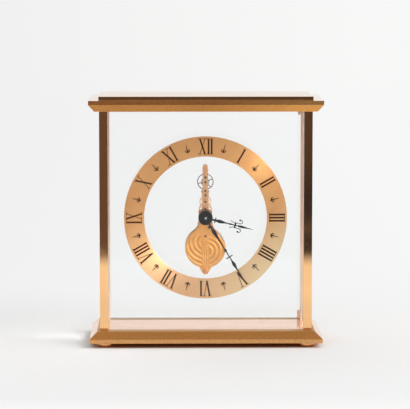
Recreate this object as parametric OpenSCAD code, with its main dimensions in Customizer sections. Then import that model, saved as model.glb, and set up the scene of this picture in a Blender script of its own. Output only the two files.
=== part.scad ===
// Eight-day desk clock: a gilt brass and glass case around a clear dial plate, with an in-line
// skeleton movement. Millimetres. Origin: middle of the case at table level, +Z up, front towards -Y.

/* [Case] */
// Width of the base and the cap plate
case_w = 195; // [185:1:215]
// Depth of the base and the cap plate
case_d = 86; // [80:1:100]
// Height of the whole clock
clock_h = 210; // [200:1:230]
// Height of the vertical edge of base and cap
edge_h = 3.5; // [2.5:0.1:5]
// Height of the bevel on base and cap
bevel_h = 5.8; // [4:0.1:7]
// How far the base's bevel steps in
base_bevel_in = 6.4; // [4:0.1:6.6]
// How far the cap's bevel steps in
cap_bevel_in = 4.9; // [3:0.1:6]
// Thickness of the stepped plate on the cap
step_h = 3; // [2:0.1:5]
// How far the stepped plate lies inside the cap's edge
step_in = 8.2; // [6:0.1:10]
// Height of the bun feet
foot_h = 4; // [3.5:0.1:8]
// Radius of a foot where it meets the base
foot_r = 7.5; // [5:0.1:9]
// Distance of the foot centres from the base's edge
foot_in = 11; // [10.5:0.1:13]
// Thickness of the bottom cover
cover_t = 1.2; // [0.8:0.1:2]

/* [Posts and glass] */
// Width of a corner post, seen from the front
post_w = 7.1; // [6:0.1:9]
// Depth of a corner post
post_t = 7; // [6:0.1:9]
// Distance from the post's outer side to the case edge
post_side_in = 8.5; // [7:0.1:9.5]
// Distance from the post's front face to the case edge
post_front_in = 14.6; // [13:0.1:16]
// Thickness of the front and side panes
pane_t = 2.5; // [2:0.1:3]
// How far a pane enters a groove
pane_seat = 1.2; // [0.8:0.1:1.3]
// Play between a pane and its groove
pane_play = 0.1; // [0.05:0.01:0.2]
// Thickness of the rear glass door
door_t = 2.5; // [2:0.1:3]
// Gap between the rear posts and the door
door_gap = 1.2; // [1:0.1:1.5]
// Thickness of the door's hinge clips
clip_t = 0.7; // [0.5:0.05:0.9]
// Radius of the door's pivot pins
pivot_r = 1; // [0.8:0.05:1.3]
// Radius of the case screws
case_screw_r = 1.4; // [1:0.1:1.5]

/* [Dial] */
// Thickness of the clear dial plate
dial_t = 3; // [2.5:0.1:4]
// Outer radius of the chapter ring
ring_r = 69; // [66:0.5:74]
// Width of the chapter ring
ring_w = 17; // [15:0.5:19]
// Thickness of the chapter ring
ring_t = 1.5; // [1:0.1:2]
// Height of the Roman numerals
numeral_h = 13.3; // [11:0.1:14]
// Width of a numeral's thick stroke
stroke_w = 1.45; // [1:0.05:1.7]
// Width of a numeral's thin stroke and serif
hair_w = 0.5; // [0.4:0.05:0.7]
// Thickness of the numerals and half-hour marks
ink_t = 0.2; // [0.1:0.05:0.4]

/* [Hands] */
// Radius of the hour hand's hub disc
hub_r = 6.1; // [5:0.05:6.5]
// Length of the hour hand from the centre
hour_len = 41.3; // [38:0.1:46]
// Length of the minute hand from the centre
minute_len = 66.8; // [62:0.1:70]
// Thickness of both hands
hand_t = 0.5; // [0.3:0.05:0.8]
// Angle of the hour hand, clockwise from twelve
hour_angle = 104; // [0:0.5:360]
// Angle of the minute hand, clockwise from twelve
minute_angle = 148.5; // [0:0.5:360]
// Gap between the dial plate and the hour hand's front
hour_reach = 3.4; // [3:0.1:4]
// How far the minute hand stands in front of the hour hand
minute_reach = 2.2; // [1.5:0.1:2.6]

/* [Movement] */
// Gap between the dial plate and the engraved cover
dial_gap = 3.2; // [3:0.1:4]
// Thickness of the engraved cover
engraved_t = 0.6; // [0.5:0.05:1]
// Thickness of the front bridge
bridge_t = 1.4; // [1.2:0.1:2]
// Thickness of the back plate
back_t = 2; // [1.5:0.1:3]
// Distance between the front bridge and the back plate
plate_gap = 9.8; // [9.8:0.1:11]
// Width of the bridge above the pallet
spine_top_w = 4.4; // [4:0.1:5]
// Width of the bridge between the pallet and the hands
spine_low_w = 5.4; // [5:0.1:6]
// Radius of the round barrel end of the bridge
pear_r = 17.2; // [16.5:0.1:18]
// Half width of the bridge's neck under the hands
neck_half = 5.7; // [5:0.1:6.5]
// Radius of the balance wheel
balance_r = 7; // [6.6:0.1:7.2]
// Running clearance of a pivot in its hole
run_gap = 0.05; // [0.03:0.01:0.08]

/* [Train] */
// Teeth of the barrel's great wheel
teeth_barrel = 100; // [90:2:110]
// Teeth of the intermediate pinion
teeth_inter_pinion = 10; // [8:1:12]
// Teeth of the intermediate wheel
teeth_inter = 66; // [60:1:72]
// Teeth of the centre pinion
teeth_centre_pinion = 15; // [12:1:16]
// Teeth of the centre wheel
teeth_centre = 64; // [60:1:72]
// Teeth of the third wheel
teeth_third = 60; // [56:1:66]
// Teeth of the fourth wheel
teeth_fourth = 80; // [70:1:84]
// Teeth of the third, fourth and escape pinions
teeth_pinion = 8; // [7:1:10]
// Thickness of the wheels
wheel_t = 0.5; // [0.4:0.05:0.6]

/* [Hidden] */
$fn = 64;
eps = 0.01;

// Heights of the case
base_bottom = foot_h;
base_top = foot_h + edge_h + bevel_h;
cap_top = clock_h - step_h;
cap_bottom = cap_top - edge_h - bevel_h;
dial_z = (base_top + cap_bottom) / 2;
groove_d = pane_seat + pane_play;

// Places of the posts and panes
post_x = case_w / 2 - post_side_in - post_w / 2;
post_y = case_d / 2 - post_front_in - post_t / 2;
foot_x = case_w / 2 - foot_in - 2;
foot_y = case_d / 2 - foot_in;
pane_z0 = base_top - pane_seat;
pane_z1 = cap_bottom + pane_seat;
side_inner = post_x - pane_t / 2;
front_half = post_x - post_w / 2 + pane_seat;
side_half = post_y - post_t / 2 + pane_seat;
screw_l = 16;
screw_head_r = 2.6;
screw_head_h = 1.6;

// Places of the door
door_y = post_y + post_t / 2 + door_gap + door_t / 2;
door_edge = post_x + post_w / 2 - 0.1;
pivot_x = door_edge - 1.3;
door_free = -door_edge;
door_lift = 0.8;
clip_w = 9;
clip_h = 7;
knob_z = dial_z;
knob_x = -post_x;
knob_r = 3;

// Depths of the dial and the movement, from the front
dial_back = -1;
dial_front = dial_back - dial_t;
ring_front = dial_front - ring_t;
cover_front = dial_back + dial_gap;
bridge_front = cover_front + engraved_t;
bridge_back = bridge_front + bridge_t;
back_front = bridge_back + plate_gap;
back_back = back_front + back_t;
hour_y0 = dial_front - hour_reach;
minute_y0 = hour_y0 - minute_reach;

// Heights of the arbors above the hands' centre
stud_at = 33.5;
balance_at = 29.5;
pallet_at = 22;
escape_at = 18.1;
fourth_at = 12.6;
third_at = 6.4;
inter_at = -8.1;
barrel_at = -26.8;
top_fix_at = 41.4;
low_fix_at = -46.5;
cover_screw_at = [[0, -16.5], [2.9, -9]];

// Modules of the going train, from the distances between arbors
mod_barrel = 2 * (inter_at - barrel_at) / (teeth_barrel + teeth_inter_pinion);
mod_inter = -2 * inter_at / (teeth_inter + teeth_centre_pinion);
mod_centre = 2 * third_at / (teeth_centre + teeth_pinion);
mod_third = 2 * (fourth_at - third_at) / (teeth_third + teeth_pinion);
mod_fourth = 2 * (escape_at - fourth_at) / (teeth_fourth + teeth_pinion);

// Motion work behind the dial plate
cannon_teeth = 10;
minute_teeth = 30;
minute_pinion_teeth = 8;
hour_teeth = 32;
motion_at = -3.4;
mod_motion = -2 * motion_at / (cannon_teeth + minute_teeth);
mod_hour = -2 * motion_at / (minute_pinion_teeth + hour_teeth);

// Radii of arbors, pipes and pivots
arbor_front_r = 0.5;
arbor_rear_r = 0.65;
cannon_r = 0.8;
hour_pipe_bore = cannon_r + run_gap;
hour_pipe_r = 1.35;
dial_hole_r = 1.9;
stem_r = 0.35;
tip_r = 0.2;
jewel_r = 0.95;
jewel_play = 0.02;
fit = 0.01;
barrel_arbor_r = 2;
barrel_square = 1.3;

// Depths of the wheels
drum_front = bridge_back + 0.8;
great_y1 = back_front - 1.5;
great_y0 = great_y1 - 1;
drum_r = 15.6;
drum_wall = 0.8;
inter_pinion_y = [great_y0 - 0.2, great_y1 + 0.3];
inter_y0 = back_front - 1;
centre_pinion_y = [back_front - 1.2, back_front - 0.3];
centre_y0 = bridge_back + 5.6;
third_y0 = bridge_back + 1.6;
fourth_y0 = bridge_back + 3.8;
escape_y0 = bridge_back + 6.4;
balance_y0 = bridge_back + 2.2;
spring_y0 = bridge_back + 0.8;
roller_y0 = bridge_back + 5;
escape_r = 2.9;
escape_teeth = 15;
ratchet_r = 9;
ratchet_teeth = 36;
knob_rear_r = 3.6;
knob_rear_y = back_back + 2;
ratchet_y0 = back_back + 0.3;
ratchet_t = 1.2;

// Hairspring: one flat ribbon that spirals out to its stud
spring_turns = 4;
spring_in_r = 1.1;
spring_out_r = 3.7;
spring_ribbon = 0.12;
spring_steps = 36;

// Mainspring: one ribbon, wound inside the drum
main_turns = 7;
main_in_r = 2.6;
main_out_r = 14.2;
main_ribbon = 0.45;
main_steps = 24;

// Colours, as the finished clock shows them
gilt = [0.78, 0.53, 0.30];
bright_gilt = [0.86, 0.62, 0.38];
ink = [0.16, 0.11, 0.09];
blued = [0.14, 0.15, 0.18];
steel = [0.62, 0.62, 0.64];
ruby = [0.62, 0.12, 0.16];
clear_glass = [0.80, 0.88, 0.90, 0.3];

// Shared shapes

// A flat piece cut from a drawing of the front view, between two depths
module plate(y0, y1) {
    translate([0, y1, dial_z])
        rotate([90, 0, 0])
            linear_extrude(y1 - y0)
                children();
}

// A plain disc or rod that lies along the depth, centred above or below the hands
module rod(r, y0, y1, up = 0, side = 0) {
    plate(y0, y1)
        translate([side, up])
            circle(r);
}

// A gear's outline with straight-flanked teeth, one tooth centred at an angle
module gear_2d(teeth, mod, at = 90) {
    pitch = 360 / teeth;
    r = teeth * mod / 2;
    tip = r + 0.75 * mod;
    root = r - 1.1 * mod;
    polygon([
        for (i = [0 : teeth - 1], corner = [[root, -0.33], [tip, -0.11], [tip, 0.11], [root, 0.33]])
            corner[0] * [cos(at + (i + corner[1]) * pitch), sin(at + (i + corner[1]) * pitch)]
    ]);
}

// A wheel with crossings: a toothed or plain rim, a hub and straight spokes
module crossed_2d(rim_r, hub, spokes, spoke_w, from = 90) {
    difference() {
        children();
        circle(rim_r);
    }
    circle(hub);
    for (i = [0 : spokes - 1])
        rotate(from + i * 360 / spokes)
            translate([0, -spoke_w / 2])
                square([rim_r + 0.2, spoke_w]);
}

// A ribbon of even width along points that a formula gives
module ribbon_2d(points, width) {
    last = len(points) - 1;
    dirs = [
        for (i = [0 : last])
            let (d = points[min(i + 1, last)] - points[max(i - 1, 0)])
            d / norm(d)
    ];
    side = [for (d = dirs) [-d[1], d[0]] * width / 2];
    polygon(concat(
        [for (i = [0 : last]) points[i] - side[i]],
        [for (i = [last : -1 : 0]) points[i] + side[i]]
    ));
}

// Points of an arc, from one angle to another
function arc(c, r, a0, a1, steps = 16) =
    [for (i = [0 : steps]) let (a = a0 + (a1 - a0) * i / steps) c + r * [cos(a), sin(a)]];

// Points of a spiral that opens at a steady rate
function spiral(r0, r1, turns, steps, from = 90) =
    [for (i = [0 : turns * steps]) let (s = i / (turns * steps), a = from + 360 * turns * s)
        (r0 + (r1 - r0) * s) * [cos(a), sin(a)]];

// Least distance between turns of a spiral, measured on its points
function least_gap(points, steps, ribbon) =
    min([for (i = [0 : len(points) - 1 - steps]) norm(points[i + steps] - points[i])]) - ribbon;

// Points of a left side that mirrors a right side, without those on the middle line
function mirrored(half) =
    [for (i = [len(half) - 1 : -1 : 0]) if (half[i][0] > 0) [-half[i][0], half[i][1]]];

// An outline given for its right side only, closed by its mirror image
module both_sides(half) {
    polygon(concat(half, mirrored(half)));
}

// Case

// A plate with a vertical edge and a bevel above it
module bevelled_plate(bevel_in) {
    w = case_w / 2;
    d = case_d / 2;
    intersection() {
        translate([0, d, 0])
            rotate([90, 0, 0])
                linear_extrude(case_d)
                    both_sides([[w, 0], [w, edge_h], [w - bevel_in, edge_h + bevel_h]]);
        rotate([90, 0, 90])
            translate([0, 0, -w])
                linear_extrude(case_w)
                    both_sides([[d, 0], [d, edge_h], [d - bevel_in, edge_h + bevel_h]]);
    }
}

// The grooves that the panes stand in, as one body to cut away
module groove_block() {
    slot = pane_t + 2 * pane_play;
    h = 2 * groove_d;
    translate([-front_half - pane_play, -post_y - slot / 2, -groove_d])
        cube([2 * (front_half + pane_play), slot, h]);
    for (s = [-1, 1])
        translate([s * post_x - slot / 2, -side_half - pane_play, -groove_d])
            cube([slot, 2 * (side_half + pane_play), h]);
    dial_slot = dial_t + 2 * pane_play;
    half = side_inner - 1 + pane_play;
    translate([-half, dial_front - pane_play, -groove_d])
        cube([2 * half, dial_slot, h]);
}

module post_screw_holes(z0, length, r) {
    for (sx = [-1, 1], sy = [-1, 1])
        translate([sx * post_x, sy * post_y, z0])
            cylinder(r = r, h = length);
}

module base_plinth() {
    lip = 5;
    color(gilt)
    difference() {
        translate([0, 0, base_bottom])
            bevelled_plate(base_bevel_in);
        translate([-case_w / 2 + lip, -case_d / 2 + lip, base_bottom - eps])
            cube([case_w - 2 * lip, case_d - 2 * lip, cover_t + eps]);
        translate([0, 0, base_top])
            groove_block();
        post_screw_holes(base_bottom, base_top, case_screw_r + run_gap);
        post_screw_holes(base_bottom, cover_t + 2, screw_head_r + 0.2);
        for (sx = [-1, 1], sy = [-1, 1])
            translate([sx * foot_x, sy * foot_y, base_bottom])
                cylinder(r = case_screw_r + run_gap, h = cover_t + 4);
        translate([pivot_x, door_y, base_top - 2])
            cylinder(r = pivot_r + run_gap, h = 4);
    }
}

module bottom_cover() {
    lip = 5 + pane_play;
    color(gilt)
    difference() {
        translate([-case_w / 2 + lip, -case_d / 2 + lip, base_bottom])
            cube([case_w - 2 * lip, case_d - 2 * lip, cover_t]);
        for (sx = [-1, 1], sy = [-1, 1])
            translate([sx * foot_x, sy * foot_y, base_bottom - 1])
                cylinder(r = case_screw_r + run_gap, h = cover_t + 2);
    }
}

module feet() {
    color(gilt)
    for (sx = [-1, 1], sy = [-1, 1])
        translate([sx * foot_x, sy * foot_y, 0])
            rotate_extrude()
                polygon(concat(
                    [[0, 0], [foot_r - 3.4, 0]],
                    arc([foot_r - 2.6, foot_h - 1], 2.6, -70, 0, 8),
                    [[foot_r, foot_h], [case_screw_r, foot_h], [case_screw_r, foot_h + cover_t + 3],
                     [0, foot_h + cover_t + 3]]
                ));
}

// A corner post, with a groove on each inner side and a screw hole in each end
module corner_post(sx, sy) {
    slot = pane_t + 2 * pane_play;
    h = cap_bottom - base_top;
    color(gilt)
    difference() {
        translate([sx * post_x - post_w / 2, sy * post_y - post_t / 2, base_top])
            cube([post_w, post_t, h]);
        translate([sx * post_x - slot / 2, sy * (post_y - post_t / 2) - groove_d, base_top - 1])
            cube([slot, 2 * groove_d, h + 2]);
        if (sy < 0)
            translate([sx * (post_x - post_w / 2) - groove_d, sy * post_y - slot / 2, base_top - 1])
                cube([2 * groove_d, slot, h + 2]);
        for (z = [base_top - 1, cap_bottom - screw_l + cap_top - cap_bottom - screw_head_h])
            translate([sx * post_x, sy * post_y, z])
                cylinder(r = case_screw_r + run_gap, h = screw_l);
    }
}

module post_front_left() { corner_post(-1, -1); }
module post_front_right() { corner_post(1, -1); }
module post_rear_left() { corner_post(-1, 1); }
module post_rear_right() { corner_post(1, 1); }

module cap_plate() {
    color(gilt)
    difference() {
        translate([0, 0, cap_top])
            mirror([0, 0, 1])
                bevelled_plate(cap_bevel_in);
        translate([0, 0, cap_bottom])
            groove_block();
        post_screw_holes(cap_bottom - 1, cap_top, case_screw_r + run_gap);
        post_screw_holes(cap_top - screw_head_h - 0.1, 5, screw_head_r + 0.2);
        translate([pivot_x, door_y, cap_bottom - 2])
            cylinder(r = pivot_r + run_gap, h = 4);
    }
}

module cap_step() {
    w = case_w / 2 - step_in;
    d = case_d / 2 - step_in;
    color(gilt)
    translate([-w, -d, cap_top])
        cube([2 * w, 2 * d, step_h]);
}

module case_screw(x, y, z, up) {
    translate([x, y, z])
        mirror([0, 0, up ? 0 : 1])
            difference() {
                union() {
                    cylinder(r = screw_head_r, h = screw_head_h);
                    cylinder(r = case_screw_r, h = screw_l - 1);
                }
                translate([-screw_head_r - 1, -0.3, -1])
                    cube([2 * screw_head_r + 2, 0.6, 1.6]);
            }
}

module case_screws() {
    color(steel)
    for (sx = [-1, 1], sy = [-1, 1]) {
        case_screw(sx * post_x, sy * post_y, base_bottom + cover_t + 2 - screw_head_h, true);
        case_screw(sx * post_x, sy * post_y, cap_top - 0.1, false);
    }
}

// Glass

module front_glass() {
    color(clear_glass)
    translate([-front_half, -post_y - pane_t / 2, pane_z0])
        cube([2 * front_half, pane_t, pane_z1 - pane_z0]);
}

module side_glass(s) {
    color(clear_glass)
    translate([s * post_x - pane_t / 2, -side_half, pane_z0])
        cube([pane_t, 2 * side_half, pane_z1 - pane_z0]);
}

module side_glass_left() { side_glass(-1); }
module side_glass_right() { side_glass(1); }

module rear_door_glass() {
    color(clear_glass)
    difference() {
        translate([door_free, door_y - door_t / 2, base_top + door_lift])
            cube([door_edge - door_free, door_t, cap_bottom - base_top - 2 * door_lift]);
        translate([knob_x, door_y + door_t, knob_z])
            rotate([90, 0, 0])
                cylinder(r = 1.3, h = 2 * door_t);
    }
}

// A channel that clips over the door's corner and carries a pivot pin
module hinge_clip() {
    floor_t = 0.5;
    half = door_t / 2 + clip_t;
    difference() {
        translate([door_edge - clip_w, -half, -floor_t])
            cube([clip_w, 2 * half, clip_h]);
        translate([door_edge - clip_w - 1, -door_t / 2, 0])
            cube([clip_w + 2, door_t, clip_h]);
    }
    translate([pivot_x, 0, -floor_t - 2])
        cylinder(r = pivot_r, h = 2 + eps);
}

module door_hinge_clips() {
    color(gilt) {
        translate([0, door_y, base_top + door_lift])
            hinge_clip();
        translate([0, door_y, cap_bottom - door_lift])
            mirror([0, 0, 1])
                hinge_clip();
    }
}

module door_knob() {
    stem = door_t + 0.8;
    color(gilt)
    translate([knob_x, door_y - door_t / 2 - 0.8, knob_z])
        rotate([-90, 0, 0])
            rotate_extrude()
                polygon(concat(
                    [[0, 0], [2.2, 0], [2.2, 0.8], [1.25, 0.8], [1.25, stem], [2.2, stem],
                     [1.4, stem + 1.2]],
                    arc([0, stem + 3.4], knob_r, -40, 90, 10)
                ));
}

// Dial

// Where the four feet of the chapter ring pass through the dial plate
module at_ring_feet() {
    for (i = [0 : 3])
        rotate(45 + i * 90)
            translate([ring_r - ring_w / 2, 0])
                children();
}

module dial_plate() {
    half = side_inner - 1;
    color(clear_glass)
    plate(dial_front, dial_back)
        difference() {
            translate([-half, pane_z0 - dial_z])
                square([2 * half, pane_z1 - pane_z0]);
            circle(dial_hole_r);
            at_ring_feet()
                circle(1.05);
            for (z = [top_fix_at, low_fix_at])
                translate([0, z])
                    circle(1.1);
        }
}

module chapter_ring() {
    color(bright_gilt) {
        plate(ring_front, dial_front)
            difference() {
                circle(ring_r, $fn = 180);
                circle(ring_r - ring_w, $fn = 180);
            }
        plate(dial_front, dial_back + 1.6)
            at_ring_feet()
                circle(0.9);
    }
}

module ring_nuts() {
    color(gilt)
    plate(dial_back, dial_back + 1.2)
        at_ring_feet()
            difference() {
                circle(2.2);
                circle(0.95);
            }
}

// Strokes of one numeral letter, drawn upright with its foot at zero
module stroke_i() {
    translate([-stroke_w / 2, 0])
        square([stroke_w, numeral_h]);
    for (y = [0, numeral_h - hair_w])
        translate([-stroke_w / 2 - hair_w, y])
            square([stroke_w + 2 * hair_w, hair_w]);
}

module slanted(x0, x1, w, y0 = 0) {
    polygon([[x0 - w / 2, y0], [x0 + w / 2, y0], [x1 + w / 2, numeral_h], [x1 - w / 2, numeral_h]]);
}

module stroke_v() {
    spread = 2.3;
    slanted(0.3, -spread, stroke_w);
    slanted(0.3, spread, hair_w);
    for (s = [-1, 1])
        translate([s * spread - stroke_w, numeral_h - hair_w])
            square([2 * stroke_w, hair_w]);
}

module stroke_x() {
    spread = 2.2;
    slanted(spread, -spread, stroke_w);
    slanted(-spread, spread, hair_w);
    for (s = [-1, 1], y = [0, numeral_h - hair_w])
        translate([s * spread - stroke_w, y])
            square([2 * stroke_w, hair_w]);
}

// Widths that the letters take: 1 is one stroke, 5 a V and 10 an X
function letter_w(k) = k == 1 ? stroke_w + 2 * hair_w + 0.2 : 7.7;
function places(letters, i) = i == 0 ? 0 : places(letters, i - 1) + letter_w(letters[i - 1]);

module numeral_2d(letters) {
    total = places(letters, len(letters));
    for (i = [0 : len(letters) - 1])
        translate([places(letters, i) + letter_w(letters[i]) / 2 - total / 2, 0]) {
            if (letters[i] == 1) stroke_i();
            if (letters[i] == 5) stroke_v();
            if (letters[i] == 10) stroke_x();
        }
}

module numerals() {
    hours = [
        [1], [1, 1], [1, 1, 1], [1, 1, 1, 1], [5], [5, 1],
        [5, 1, 1], [5, 1, 1, 1], [1, 10], [10], [10, 1], [10, 1, 1]
    ];
    foot = ring_r - (ring_w + numeral_h) / 2;
    color(ink)
    plate(ring_front - ink_t, ring_front)
        for (h = [1 : 12])
            rotate(-30 * h)
                translate([0, foot])
                    numeral_2d(hours[h - 1]);
}

// A small three-leaved mark, its head towards the hands and its stem outwards
module half_hour_2d() {
    both_sides([[0, -4], [0.75, -2.4], [0.28, -1.2], [0.28, -0.5], [1.1, 0], [0.28, 0.4], [0.28, 4]]);
    for (s = [-1, 1])
        ribbon_2d(arc([s * 1.25, -0.7], 0.85, 90 + s * 90, 90 - s * 110, 10), 0.5);
}

module half_hour_marks() {
    color(ink)
    plate(ring_front - ink_t, ring_front)
        for (h = [0 : 11])
            rotate(-30 * h - 15)
                translate([0, ring_r - ring_w / 2])
                    half_hour_2d();
}

// Plates of the movement

// Right side of the neck, the round barrel end and the tail, cut straight at the upper right
function pear_half(inset, cut) =
    let (n = neck_half - inset, r = pear_r - inset, c = [0, barrel_at])
    concat(
        [[n, -6.6]],
        cut ? [[n + 0.8, -9.4]] : [[n + 0.9, -9.2], [n + 2.8, -11.6]],
        arc(c, r, cut ? 12 : 50, -62, 24),
        [[neck_half - 0.3, low_fix_at + 3.4], [4.3, low_fix_at + 1.5], [2.8, low_fix_at - 0.9],
         [2, low_fix_at - 2.4], [0.9, low_fix_at - 2.9]]
    );

// Right side of the long bridge above the neck
function spine_half() =
    let (low = spine_low_w / 2, top = spine_top_w / 2)
    concat(
        arc([0, top_fix_at], top, 90, 0, 8),
        [[top, pallet_at + 1], [low, pallet_at - 1], [low + 0.3, escape_at], [low, escape_at - 3],
         [low, 5.2], [neck_half, 4]]
    );

module bridge_2d() {
    polygon(concat(
        spine_half(), pear_half(0, true), mirrored(concat(spine_half(), pear_half(0, false)))
    ));
}

module cover_2d() {
    polygon(concat(pear_half(0.35, true), mirrored(pear_half(0.35, false))));
}

jewel_heights = [balance_at, pallet_at, escape_at, fourth_at, third_at];

module front_bridge() {
    color(gilt)
    plate(bridge_front, bridge_back)
        difference() {
            bridge_2d();
            for (z = jewel_heights)
                translate([0, z])
                    circle(jewel_r + jewel_play);
            for (z = [top_fix_at, low_fix_at])
                translate([0, z])
                    circle(1.05);
            translate([0, stud_at])
                circle(0.65);
            circle(arbor_front_r + run_gap);
            translate([0, inter_at])
                circle(tip_r + run_gap);
            translate([0, motion_at])
                circle(0.55);
            translate([0, barrel_at])
                circle(barrel_arbor_r - 0.5 + run_gap);
            for (p = cover_screw_at)
                translate(p)
                    circle(0.55);
        }
}

// Crescent flutes of the cover, one family on each side of the stem
module flutes_2d() {
    for (s = [-1, 1], i = [0 : 2])
        intersection() {
            difference() {
                translate([s * (1.2 + 2.6 * i) * 0.3, barrel_at])
                    circle(14.6 - 3.4 * i);
                translate([-s * (1.6 - 0.2 * i), barrel_at + 0.6])
                    circle(14.4 - 3.4 * i);
            }
            translate([s > 0 ? 3.4 : -23.4, barrel_at - 13])
                square([20, 24]);
        }
}

module engraved_cover() {
    color(bright_gilt)
    difference() {
        plate(cover_front, bridge_front)
            difference() {
                cover_2d();
                translate([0, low_fix_at])
                    circle(1.95);
                for (p = cover_screw_at)
                    translate(p)
                        circle(0.55);
            }
        plate(cover_front - 1, cover_front + 0.2)
            flutes_2d();
    }
}

module back_plate() {
    color(gilt)
    plate(back_front, back_back)
        difference() {
            bridge_2d();
            for (z = jewel_heights)
                translate([0, z])
                    circle(jewel_r + jewel_play);
            for (z = [top_fix_at, low_fix_at])
                translate([0, z])
                    circle(1.05);
            circle(arbor_rear_r + run_gap);
            translate([0, inter_at])
                circle(tip_r + run_gap);
            translate([0, barrel_at])
                circle(barrel_arbor_r + run_gap);
            translate(click_at)
                circle(0.85);
            translate(click_spring_at)
                circle(0.55);
        }
}

module pillars() {
    color(gilt)
    for (z = [top_fix_at, low_fix_at])
        difference() {
            union() {
                rod(1.8, dial_back, bridge_front, z);
                rod(1.8, bridge_back, back_front, z);
            }
            rod(1.05, dial_back - 1, back_front + 1, z);
        }
}

module dial_screws() {
    color(gilt)
    for (z = [top_fix_at, low_fix_at])
        difference() {
            union() {
                rod(1.9, dial_front - 0.9, dial_front, z);
                rod(1, dial_front - 0.9, bridge_back + 3, z);
            }
            plate(dial_front - 2, dial_front - 0.5)
                translate([-3, z - 0.2])
                    square([6, 0.4]);
        }
}

module small_screw(x, z, y_seat, length, head_r, shank_r, forward) {
    head = 0.5;
    y0 = forward ? y_seat - head : y_seat - length;
    y1 = forward ? y_seat + length : y_seat + head;
    rod(head_r, forward ? y_seat - head : y_seat, forward ? y_seat : y_seat + head, z, x);
    rod(shank_r, y0, y1, z, x);
}

module movement_screws() {
    color(blued) {
        for (p = cover_screw_at)
            small_screw(p[0], p[1], cover_front, 1.7, 0.95, 0.5, true);
        small_screw(0, stud_at, bridge_front, 1.4, 1, 0.6, true);
        for (z = [top_fix_at, low_fix_at])
            small_screw(0, z, back_back, 6, 1.8, 1, false);
        small_screw(click_at[0], click_at[1], back_back + 0.3 + click_t, 3.2, 1.4, 0.8, false);
        small_screw(click_spring_at[0], click_spring_at[1], back_back + 0.8, 2.5, 1.1, 0.5, false);
    }
}

module jewel_2d(up) {
    translate([0, up])
        difference() {
            circle(jewel_r);
            circle(tip_r + run_gap);
        }
}

module front_jewels() {
    color(ruby)
    plate(bridge_front + 0.2, bridge_back)
        for (z = jewel_heights)
            jewel_2d(z);
}

module rear_jewels() {
    color(ruby)
    plate(back_front, back_front + 1)
        for (z = jewel_heights)
            jewel_2d(z);
}

// Barrel

module barrel_drum() {
    color(gilt) {
        plate(great_y0, great_y1)
            difference() {
                translate([0, barrel_at])
                    gear_2d(teeth_barrel, mod_barrel, 90);
                translate([0, barrel_at])
                    circle(barrel_arbor_r + run_gap);
            }
        plate(drum_front, great_y0)
            translate([0, barrel_at])
                difference() {
                    circle(drum_r, $fn = 96);
                    circle(drum_r - drum_wall, $fn = 96);
                }
    }
}

module barrel_cover() {
    color(bright_gilt)
    plate(drum_front, drum_front + 0.8)
        translate([0, barrel_at])
            difference() {
                circle(drum_r - drum_wall - 0.02, $fn = 96);
                circle(barrel_arbor_r + run_gap);
            }
}

main_points = spiral(main_in_r, main_out_r, main_turns, main_steps);
spring_points = spiral(spring_in_r, spring_out_r, spring_turns, spring_steps);
collet_r = 0.75;

module mainspring() {
    color(steel)
    plate(drum_front + 1.2, great_y0 - 0.3)
        translate([0, barrel_at]) {
            ribbon_2d(concat(main_points, [[-1.5, drum_r - drum_wall - 0.3]]), main_ribbon);
        }
}

// The barrel's arbor, thinner at its front pivot and squared behind for ratchet and key
module barrel_arbor() {
    color(steel) {
        rod(barrel_arbor_r - 0.5, bridge_front + 0.1, bridge_back + 0.3, barrel_at);
        rod(barrel_arbor_r, bridge_back + 0.3, ratchet_y0, barrel_at);
        plate(ratchet_y0, ratchet_y0 + ratchet_t + 4)
            translate([-barrel_square, barrel_at - barrel_square])
                square(2 * barrel_square);
    }
}

module ratchet_wheel() {
    color(steel)
    plate(ratchet_y0, ratchet_y0 + ratchet_t)
        translate([0, barrel_at])
            difference() {
                polygon([
                    for (i = [0 : ratchet_teeth - 1], c = [[ratchet_r - 0.9, 0], [ratchet_r, 0.12]])
                        let (a = (i + c[1]) * 360 / ratchet_teeth)
                        c[0] * [cos(a), sin(a)]
                ]);
                translate([-barrel_square - 0.02, -barrel_square - 0.02])
                    square(2 * barrel_square + 0.04);
            }
}

click_at = [10.9, -19.2];
click_spring_at = [14.6, -30.6];
click_play = 0.2;
click_t = 1.2;
click_hub_r = 2;
click_lean = 40;

// Length of a beak that leans off the line to the barrel's centre and ends just clear of the teeth
function beak_length() =
    let (d = norm([click_at[0], click_at[1] - barrel_at]), reach = ratchet_r + click_play)
    d * cos(click_lean) - sqrt(pow(reach, 2) - pow(d * sin(click_lean), 2));

// The click's beak stands clear of the tips, so that the ratchet and the click turn by themselves
module click() {
    toward = atan2(barrel_at - click_at[1], -click_at[0]);
    beak = beak_length();
    color(steel)
    plate(back_back + 0.2, back_back + 0.2 + click_t)
        translate(click_at)
            difference() {
                union() {
                    circle(click_hub_r);
                    rotate(toward + click_lean)
                        polygon([[0, -1.8], [beak, 0], [beak - 0.4, 0.9], [0, 1.8]]);
                    rotate(-72)
                        translate([0, -0.9])
                            square([4.2, 1.8]);
                }
                circle(0.8 + run_gap);
            }
}

// A bent blade that stands behind the click's tail
module click_spring() {
    c = click_spring_at;
    color(steel)
    difference() {
        plate(back_back, back_back + 0.8) {
            translate(c)
                circle(1.6);
            ribbon_2d([c, c + [0.9, 2.6], c + [0.9, 5.2], c + [-0.3, 8.1]], 0.6);
        }
        rod(0.55, back_back - 1, back_back + 2, c[1], c[0]);
    }
}

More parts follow.
